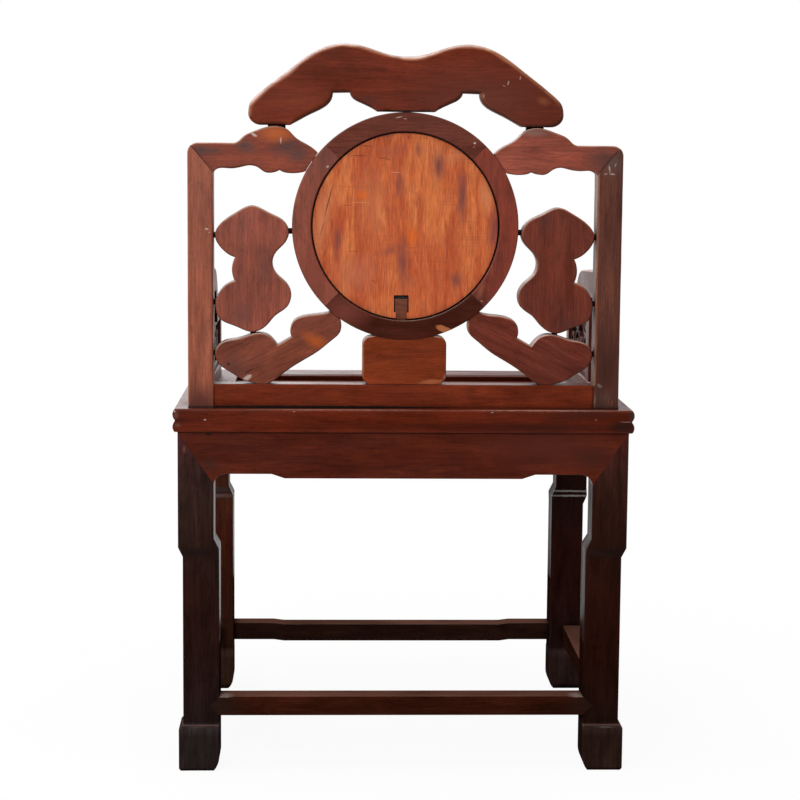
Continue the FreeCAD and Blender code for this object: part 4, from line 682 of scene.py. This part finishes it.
DOWEL_WOOD = {
    "dark": (0.006, 0.004, 0.003),
    "light": (0.016, 0.009, 0.007),
    "wear_and_highlight": (0.03, 0.015, 0.01),
    "arris_highlight": (0.05, 0.03, 0.02),
    "gloss": 0.1,
    "rough": 0.4,
    "dusty": 0.0,
    "figure": 0.5,
}
BOLT_WOOD = {
    "dark": (0.11, 0.036, 0.022),
    "light": (0.24, 0.080, 0.050),
    "wear_and_highlight": (0.30, 0.16, 0.10),
    "arris_highlight": (0.50, 0.30, 0.20),
    "gloss": 0.05,
    "rough": 0.4,
    "dusty": 0.0,
    "figure": 0.7,
}

FAMILIES = {
    "frame": FRAME_WOOD,
    "crest": CREST_WOOD,
    "seat": SEAT_WOOD,
    "leg": LEG_WOOD,
    "dowel": DOWEL_WOOD,
    "bolt": BOLT_WOOD,
}
woods = {}


def wood(family, grain):
    """The wood of a family with its grain in one direction, made once."""
    key = f"{family}_wood_{grain}"
    if key not in woods:
        woods[key] = hardwood(key, grain, **FAMILIES[family])
    return woods[key]


# Clean copies of the solids, with softened arrises

WELD = 0.01 * MM
FLAT = math.radians(0.4)
SHARP = math.radians(28)
PROBE = 0.9 * MM
INSET = 2.0 * MM
JOINT_WIDTH = 0.16 * MM
SAMPLES = (0.1, 0.3, 0.5, 0.7, 0.9)
OPEN_SHARE = 0.5
FIT_SHARE = 0.8
WIDEST_TURN = 3.0
CORNER_SHARE = 0.4
SQUARE_ON = 0.999
FLAT_WEIGHT = 80
EASE = 0.5
CORNER_STEPS = 5
SOLE_HEIGHT = 1 * MM
ARRIS_STEPS = 5
ROUND_SHARES = (0.12, 0.7, 1.0, 1.0, 0.8, 0.0)
LONGEST = 5 * MM
WAVE = 0.35
WAVE_LENGTH = 22 * MM


def clean(node):
    """The solid's mesh, welded, with its flat faces whole."""
    mesh = bmesh.new()
    mesh.from_mesh(frame["nodes"][node].data)
    bmesh.ops.remove_doubles(mesh, verts=mesh.verts, dist=WELD)
    bmesh.ops.dissolve_limit(mesh, angle_limit=FLAT, verts=mesh.verts, edges=mesh.edges)
    mesh.normal_update()
    return mesh


cleaned = {node: clean(node) for node in frame["nodes"]}
trees = {node: BVHTree.FromBMesh(mesh) for node, mesh in cleaned.items()}
boxes = {node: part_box(node) for node in cleaned}


def neighbours(node):
    """The nodes whose boxes come near this one's."""
    low, high = boxes[node]
    near = []
    for other, (other_low, other_high) in boxes.items():
        apart = any(
            other_low[axis] > high[axis] + PROBE or other_high[axis] < low[axis] - PROBE
            for axis in range(3)
        )
        if other != node and not apart:
            near.append(other)
    return near


def covered(point, near):
    """Whether a point lies inside a neighbour."""
    for other in near:
        spot, normal, _, _ = trees[other].find_nearest(point, 3 * PROBE)
        if spot is not None and (point - spot).dot(normal) < 0:
            return True
    return False


def touches(point, near):
    """Whether a neighbour passes within a hair of a point."""
    return any(trees[other].find_nearest(point, PROBE)[0] is not None for other in near)


def open_share(edge, near):
    """How much of an edge has both its faces in the open."""
    first, last = (vertex.co for vertex in edge.verts)
    along = (last - first).normalized()
    free = 0
    for share in SAMPLES:
        middle = first.lerp(last, share)
        hidden = False
        for face in edge.link_faces:
            inward = face.normal.cross(along)
            if inward.dot(face.calc_center_median() - middle) < 0:
                inward = -inward
            if covered(middle + inward * INSET + face.normal * PROBE, near):
                hidden = True
        free += not hidden
    return free / len(SAMPLES)


def turn_within(face, edge, other):
    """How far a face's outline turns between two of its edges, positive at an outward corner."""
    shared = next(vertex for vertex in edge.verts if vertex in other.verts)
    here = edge.other_vert(shared).co - shared.co
    there = other.other_vert(shared).co - shared.co
    turn = math.pi - here.angle(there)
    inward = face.normal.cross(here)
    if inward.dot(face.calc_center_median() - shared.co) < 0:
        inward = -inward
    return turn if there.dot(inward) > 0 else -turn


def fitting_width(edge, sharp, width):
    """The widest arris that leaves some of the edge between its corners."""
    for face in edge.link_faces:
        shrink = 0.0
        for vertex in edge.verts:
            for other in vertex.link_edges:
                if other is not edge and other in sharp and face in other.link_faces:
                    turn = min(turn_within(face, edge, other), WIDEST_TURN)
                    shrink += math.tan(max(0.0, turn) / 2)
        if shrink > 0:
            width = min(width, FIT_SHARE * edge.calc_length() / shrink)
    return width


def is_sole(edge):
    """Whether an edge lies on the floor, where the feet are round already."""
    return max(vertex.co.z for vertex in edge.verts) < SOLE_HEIGHT


def dress(node, data, material):
    """Puts a mesh in the scene as the seen shape of a solid."""
    piece = bpy.data.objects.new(data.name, data)
    bpy.context.scene.collection.objects.link(piece)
    data.materials.append(material)
    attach(piece, frame["nodes"][node]["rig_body"])
    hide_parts(node)
    return piece


def flat_normals(piece):
    """Keeps wide faces flat where arrises meet them."""
    normals = piece.modifiers.new("normals", "WEIGHTED_NORMAL")
    normals.keep_sharp = True
    normals.weight = FLAT_WEIGHT


def softened(node, width, material, segments=3):
    """A copy of a solid whose open arrises are rounded, and whose joints keep a hairline."""
    mesh = cleaned[node].copy()
    near = neighbours(node)
    weights = mesh.edges.layers.float.new("bevel_weight_edge")
    rubbed = mesh.verts.layers.float.new("rubbed")
    for vertex in mesh.verts:
        vertex[rubbed] = 1.0
    sharp = {edge for edge in mesh.edges if len(edge.link_faces) == 2 and edge.calc_face_angle() > SHARP}
    if not width:
        for edge in sharp:
            edge.smooth = False
        sharp = set()
    widths = {}
    for edge in sharp:
        is_open = open_share(edge, near) > OPEN_SHARE
        own = 0.0 if is_sole(edge) else width
        widths[edge] = fitting_width(edge, sharp, own if is_open else JOINT_WIDTH)
        for vertex in edge.verts:
            vertex[rubbed] = min(vertex[rubbed], float(is_open))
    for edge, own in widths.items():
        for vertex in edge.verts:
            for other in vertex.link_edges:
                if other in sharp:
                    own = min(own, widths[other] + EASE * other.calc_length())
        edge[weights] = own / width
    for face in mesh.faces:
        face.smooth = True
    data = bpy.data.meshes.new(f"{node}_shaped")
    mesh.to_mesh(data)
    piece = dress(node, data, material)
    if width:
        bevel = piece.modifiers.new("arrises", "BEVEL")
        bevel.limit_method = "WEIGHT"
        bevel.width = width
        bevel.segments = segments
        bevel.use_clamp_overlap = False
        bevel.miter_outer = "MITER_ARC"
    flat_normals(piece)
    return piece


# Slabs: pieces sawn to an outline, with hand-rounded arrises that die into the joints


def outline_of(node, axis):
    """The outline of the widest face across an axis, anticlockwise, and both levels of the slab."""
    mesh = cleaned[node]
    caps = [face for face in mesh.faces if abs(face.normal[axis]) > SQUARE_ON]
    widest = max(caps, key=lambda face: face.calc_area())
    levels = [vertex.co[axis] for vertex in mesh.verts]
    across = (axis + 1) % 2
    points = [Vector((loop.vert.co[across], loop.vert.co.z)) for loop in widest.loops]
    swept = sum(a.x * b.y - b.x * a.y for a, b in zip(points, points[1:] + points[:1]))
    return (points if swept > 0 else points[::-1]), min(levels), max(levels)


def ring_of(points):
    """Every point of a closed line with the ones before and after it."""
    return zip(points[-1:] + points[:-1], points, points[1:] + points[:1])


def with_round_corners(points, radius, is_open):
    """The outline with an arc at every open outward corner."""
    rounded = []
    for before, here, after in ring_of(points):
        back, on = before - here, after - here
        turn = math.pi - back.angle(on)
        outward = back.x * on.y - back.y * on.x < 0
        shorter = min(back.length, on.length)
        reach = min(radius * math.tan(turn / 2), CORNER_SHARE * shorter)
        if turn < SHARP or not outward or not is_open(here):
            rounded.append(here)
            continue
        start, end = here + back.normalized() * reach, here + on.normalized() * reach
        for step in range(CORNER_STEPS + 1):
            share = step / CORNER_STEPS
            rounded.append((1 - share) ** 2 * start + 2 * share * (1 - share) * here + share**2 * end)
    return rounded


def divided(points, longest):
    """The outline with its long straights cut into shorter ones."""
    cut = []
    for _, here, after in ring_of(points):
        parts = max(1, math.ceil((after - here).length / longest))
        cut += [here.lerp(after, part / parts) for part in range(parts)]
    return cut


def inward_normals(points):
    """At every point the direction into the slab."""
    normals = []
    for before, here, after in ring_of(points):
        one, two = (here - before).normalized(), (after - here).normalized()
        bisector = Vector((-one.y - two.y, one.x + two.x))
        normals.append(bisector.normalized())
    return normals


def arris_widths(points, normals, wanted):
    """Widths that fit the curves of the outline and change slowly along it."""
    widths = []
    for here, normal, want in zip(points, normals, wanted):
        for other in points:
            way = other - here
            depth = way.dot(normal)
            if depth > 0.0 and way.length > 0.0:
                want = min(want, FIT_SHARE * way.length_squared / (2 * depth))
        widths.append(want)
    count = len(points)
    for _ in range(2):
        for place in list(range(count)) + list(range(count))[::-1]:
            for beside in (place - 1, (place + 1) % count):
                step = (points[place] - points[beside]).length
                widths[place] = min(widths[place], widths[beside] + EASE * step)
    return widths


def slab(node, axis, width, material, radius=2.5 * MM):
    """A slab rebuilt from its outline, with round arrises on both sides."""
    outline, low, high = outline_of(node, axis)
    near = neighbours(node)
    solid = [other for other in near if not other.endswith("dowels")]

    def lift(point, level):
        return Vector((point.x, level, point.y)) if axis == 1 else Vector((level, point.x, point.y))

    middle = (low + high) / 2
    outline = with_round_corners(outline, radius, lambda point: not touches(lift(point, middle), near))
    outline = divided(outline, LONGEST)
    normals = inward_normals(outline)
    sides, shares = [], []
    for level, into in ((low, 1), (high, -1)):
        wanted = []
        for point, normal in zip(outline, normals):
            probe = lift(point - normal * PROBE, level + into * INSET)
            joined = covered(probe, near) or covered(lift(point - normal * PROBE, middle), solid)
            wave = 1 + WAVE * noise_at(lift(point, level) / WAVE_LENGTH)
            wanted.append(JOINT_WIDTH if joined else width * wave)
        widths = arris_widths(outline, normals, wanted)
        shares.append([float(want > JOINT_WIDTH) for want in wanted])
        for step in range(ARRIS_STEPS + 1):
            angle = step / ARRIS_STEPS * math.pi / 2
            ring = []
            for point, normal, own in zip(outline, normals, widths):
                inset = own * (1 - math.cos(angle))
                ring.append(lift(point + normal * inset, level + into * own * (1 - math.sin(angle))))
            sides.append(ring)
    rings = sides[ARRIS_STEPS::-1] + sides[ARRIS_STEPS + 1 :]
    mesh = bmesh.new()
    rounded = mesh.verts.layers.float.new("rounded")
    rows = []
    for ring in rings:
        side, step = divmod(len(rows), ARRIS_STEPS + 1)
        rows.append([mesh.verts.new(point) for point in ring])
        for vertex, share in zip(rows[-1], shares[side]):
            vertex[rounded] = share * ROUND_SHARES[step if side else ARRIS_STEPS - step]
    count = len(outline)
    for lower, upper in zip(rows, rows[1:]):
        for place in range(count):
            after = (place + 1) % count
            mesh.faces.new((lower[place], lower[after], upper[after], upper[place]))
    mesh.faces.new(rows[0][::-1])
    mesh.faces.new(rows[-1])
    bmesh.ops.recalc_face_normals(mesh, faces=mesh.faces)
    for face in mesh.faces:
        face.smooth = True
    for edge in mesh.edges:
        edge.smooth = edge.calc_face_angle() < SHARP
    data = bpy.data.meshes.new(f"{node}_shaped")
    mesh.to_mesh(data)
    piece = dress(node, data, material)
    flat_normals(piece)
    return piece


# Pieces: arris width in millimetres, wood, grain and slot

PIECES = {}
for side in ("front", "back"):
    PIECES[f"seat_rail_{side}"] = (0, "seat", "x", "frame_wood")
    PIECES[f"apron_{side}"] = (1.2, "seat", "x", "frame_wood")
    PIECES[f"stretcher_{side}"] = (1.6, "leg", "x", "leg_wood")
for side in ("left", "right"):
    PIECES[f"seat_rail_{side}"] = (0, "seat", "y", "frame_wood")
    PIECES[f"apron_{side}"] = (1.2, "seat", "y", "frame_wood")
    PIECES[f"stretcher_{side}"] = (1.6, "leg", "y", "leg_wood")
    PIECES[f"back_post_{side}"] = (3.2, "frame", "z", "frame_wood")
    PIECES[f"upper_cloud_{side}"] = (2.6, "frame", "x", "frame_wood")
    PIECES[f"side_cloud_{side}"] = (2.6, "frame", "z", "frame_wood")
    family, grain = ("frame", "rise") if side == "left" else ("crest", "fall")
    PIECES[f"lower_cloud_{side}"] = (2.6, family, grain, "frame_wood")
    PIECES[f"ring_{side}"] = (1.8, "frame", "z", "frame_wood")
    PIECES[f"arm_rail_{side}"] = (3.0, "frame", "y", "frame_wood")
    PIECES[f"arm_foot_rail_{side}"] = (1.6, "frame", "y", "frame_wood")
    PIECES[f"arm_front_post_{side}"] = (2.4, "frame", "z", "frame_wood")
    PIECES[f"arm_middle_post_{side}"] = (2.0, "frame", "z", "frame_wood")
    PIECES[f"arm_fret_{side}"] = (1.2, "leg", "y", "carved_wood")
    for end in ("front", "back"):
        PIECES[f"leg_{end}_{side}"] = (1.6, "leg", "z", "leg_wood")
PIECES["crest_rail"] = (6.6, "crest", "x", "frame_wood")
PIECES["ring_top"] = (1.8, "crest", "x", "frame_wood")
PIECES["ring_bottom"] = (1.8, "crest", "x", "frame_wood")
PIECES["centre_block"] = (2.6, "crest", "x", "frame_wood")
PIECES["back_foot_rail"] = (1.8, "seat", "x", "frame_wood")
PIECES["seat_panel"] = (0.8, "seat", "x", "panel_wood")
PIECES["seat_batten_left"] = (1.0, "leg", "y", "panel_wood")
PIECES["seat_batten_right"] = (1.0, "leg", "y", "panel_wood")
PIECES["board_bolt"] = (0.6, "bolt", "x", "backing_wood")

SLAB_STARTS = (
    "crest",
    "upper_cloud",
    "side_cloud",
    "lower_cloud",
    "centre_block",
    "back_post",
    "arm_rail",
)

shaped = {}
for node, (width, family, grain, slot) in PIECES.items():
    if node.startswith(SLAB_STARTS):
        axis = 0 if node.startswith("arm") else 1
        shaped[node] = slab(node, axis, width * MM, wood(family, grain))
    else:
        shaped[node] = softened(node, width * MM, wood(family, grain))

# What each piece's wood is multiplied by: partly its own tone and partly painted light, such as the
# painted sheen that makes the left back post lighter than the right
TINTS = {
    "back_post_left": (2.1, 2.6, 2.5),
    "back_post_right": (0.72, 0.95, 1.05),
    "upper_cloud_left": (1.42, 1.16, 0.86),
    "upper_cloud_right": (1.92, 2.0, 2.2),
    "side_cloud_left": (1.73, 1.87, 2.0),
    "side_cloud_right": (1.0, 0.8, 0.7),
    "lower_cloud_left": (1.23, 1.31, 1.2),
    "lower_cloud_right": (0.87, 0.85, 1.0),
    "centre_block": (1.22, 0.95, 0.5),
    "ring_left": (1.48, 1.6, 1.65),
    "ring_top": (0.92, 1.08, 1.28),
    "ring_right": (1.29, 0.95, 0.9),
    "ring_bottom": (0.38, 0.34, 0.30),
    "crest_rail": (0.98, 0.7, 0.5),
    "back_foot_rail": (1.58, 1.83, 2.1),
    "apron_back": (0.76, 0.92, 1.35),
    "stretcher_back": (1.95, 1.2, 0.75),
    "stretcher_front": (1.3, 1.3, 1.1),
    "stretcher_left": (1.5, 1.25, 0.9),
    "stretcher_right": (1.5, 1.25, 0.9),
    "leg_front_left": (2.3, 2.1, 1.5),
    "leg_back_left": (0.88, 1.15, 1.25),
    "leg_back_right": (0.93, 0.86, 0.73),
}
for node, tint in TINTS.items():
    shaped[node].color = (*tint, 1)

shaped["back_board"] = softened("back_board", 0.8 * MM, bare_board("board_wood"))
shaped["stone_roundel"] = softened("stone_roundel", 1.0 * MM, marble("veined_marble"))

for node in ("back_dowels", "arm_dowels"):
    data = frame["nodes"][node].data
    data.materials.clear()
    data.materials.append(wood("dowel", "x"))

# Stage: a pale floor, a white world and soft lamps

DARK_SIDE_GLOW = 0.03
AMBIENT_LOW = 0.12
AMBIENT_HIGH = 0.55
FLOOR_RADIUS = 1.3
FLOOR_SIDES = 96
FLOOR_GREY = 0.9
FLOOR_WHITE_SHARE = 0.92
FLOOR_FADE_START = 0.2
FLOOR_FADE_END = 1.2


def direct_ray(tree):
    """1 for rays that show the background: straight to the camera, mirrored or through glass."""
    path = add(tree, "ShaderNodeLightPath")
    straight = maths(tree, "MAXIMUM", path.outputs["Is Camera Ray"], path.outputs["Is Glossy Ray"])
    return maths(tree, "MAXIMUM", straight, path.outputs["Is Transmission Ray"])


def make_floor():
    """A round pale floor that fades into the white ground."""
    data = bpy.data.meshes.new("floor")
    mesh = bmesh.new()
    bmesh.ops.create_circle(mesh, cap_ends=True, segments=FLOOR_SIDES, radius=FLOOR_RADIUS)
    mesh.to_mesh(data)
    floor = bpy.data.objects.new("floor", data)
    bpy.context.scene.collection.objects.link(floor)
    material, tree = new_material("floor")
    paint = add(tree, "ShaderNodeBsdfDiffuse", {"Color": (FLOOR_GREY, FLOOR_GREY, FLOOR_GREY, 1)})
    glow = add(tree, "ShaderNodeEmission", {"Color": (1, 1, 1, 1), "Strength": 1.0})
    away = vectors(tree, "LENGTH", coordinates(tree, "Object")).outputs["Value"]
    white = span(tree, away, FLOOR_FADE_START, FLOOR_FADE_END, FLOOR_WHITE_SHARE, 1.0)
    shown = maths(tree, "MULTIPLY", direct_ray(tree), white)
    mix = add(tree, "ShaderNodeMixShader", {0: shown, 1: paint.outputs[0], 2: glow.outputs[0]})
    add(tree, "ShaderNodeOutputMaterial", {"Surface": mix.outputs[0]})
    data.materials.append(material)


def make_world():
    """White to the camera; mirrored, bright above and behind the chair and dark on the camera's side."""
    world = bpy.data.worlds.new("studio")
    bpy.context.scene.world = world
    world.use_nodes = True
    tree = world.node_tree
    tree.nodes.clear()
    way = parts_of(tree, coordinates(tree, "Generated"))
    direct = direct_ray(tree)
    mirrored = add(tree, "ShaderNodeLightPath").outputs["Is Glossy Ray"]
    wall = span(tree, way["Y"], -0.3, 0.35, 0.0, 1.0 - DARK_SIDE_GLOW)
    open_sky = span(tree, way["Z"], 0.2, 0.8, 1.0, 0.0)
    dimmed = maths(tree, "MULTIPLY", maths(tree, "MULTIPLY", wall, open_sky), mirrored)
    shown = maths(tree, "MULTIPLY", direct, maths(tree, "SUBTRACT", 1.0, dimmed))
    other = maths(tree, "SUBTRACT", 1.0, direct)
    sky = span(tree, way["Z"], -0.2, 0.8, AMBIENT_LOW, AMBIENT_HIGH)
    strength = maths(tree, "ADD", shown, maths(tree, "MULTIPLY", other, sky))
    light = add(tree, "ShaderNodeBackground", {"Color": (1, 1, 1, 1), "Strength": strength})
    add(tree, "ShaderNodeOutputWorld", {"Surface": light.outputs[0]})


def area_lamp(name, place, target, width, height, power):
    """A soft lamp that faces a point."""
    data = bpy.data.lights.new(name, "AREA")
    data.shape = "RECTANGLE"
    data.size = width
    data.size_y = height
    data.energy = power
    lamp = bpy.data.objects.new(name, data)
    lamp.location = place
    lamp.rotation_euler = (Vector(target) - Vector(place)).to_track_quat("-Z", "Y").to_euler()
    bpy.context.scene.collection.objects.link(lamp)


# Lamps: name, place, target, width and height in metres, and power in watts
LAMPS = [
    ("key", (1.0, 3.0, 1.7), (0.1, 0, 0.75), 1.1, 1.3, 50),
    ("fill", (-2.2, 2.4, 1.4), (0, 0, 0.5), 1.0, 1.4, 7),
    ("front", (0.8, -2.8, 1.9), (0, 0, 0.6), 2.0, 1.6, 24),
    ("top", (0.2, 0.4, 2.7), (0, 0.1, 0.8), 1.5, 0.5, 17),
    ("edge", (2.4, 0.5, 1.4), (0.2, 0.2, 0.7), 0.4, 1.6, 12),
]

make_floor()
make_world()
for lamp in LAMPS:
    area_lamp(*lamp)

bpy.context.scene.view_settings.view_transform = "Standard"
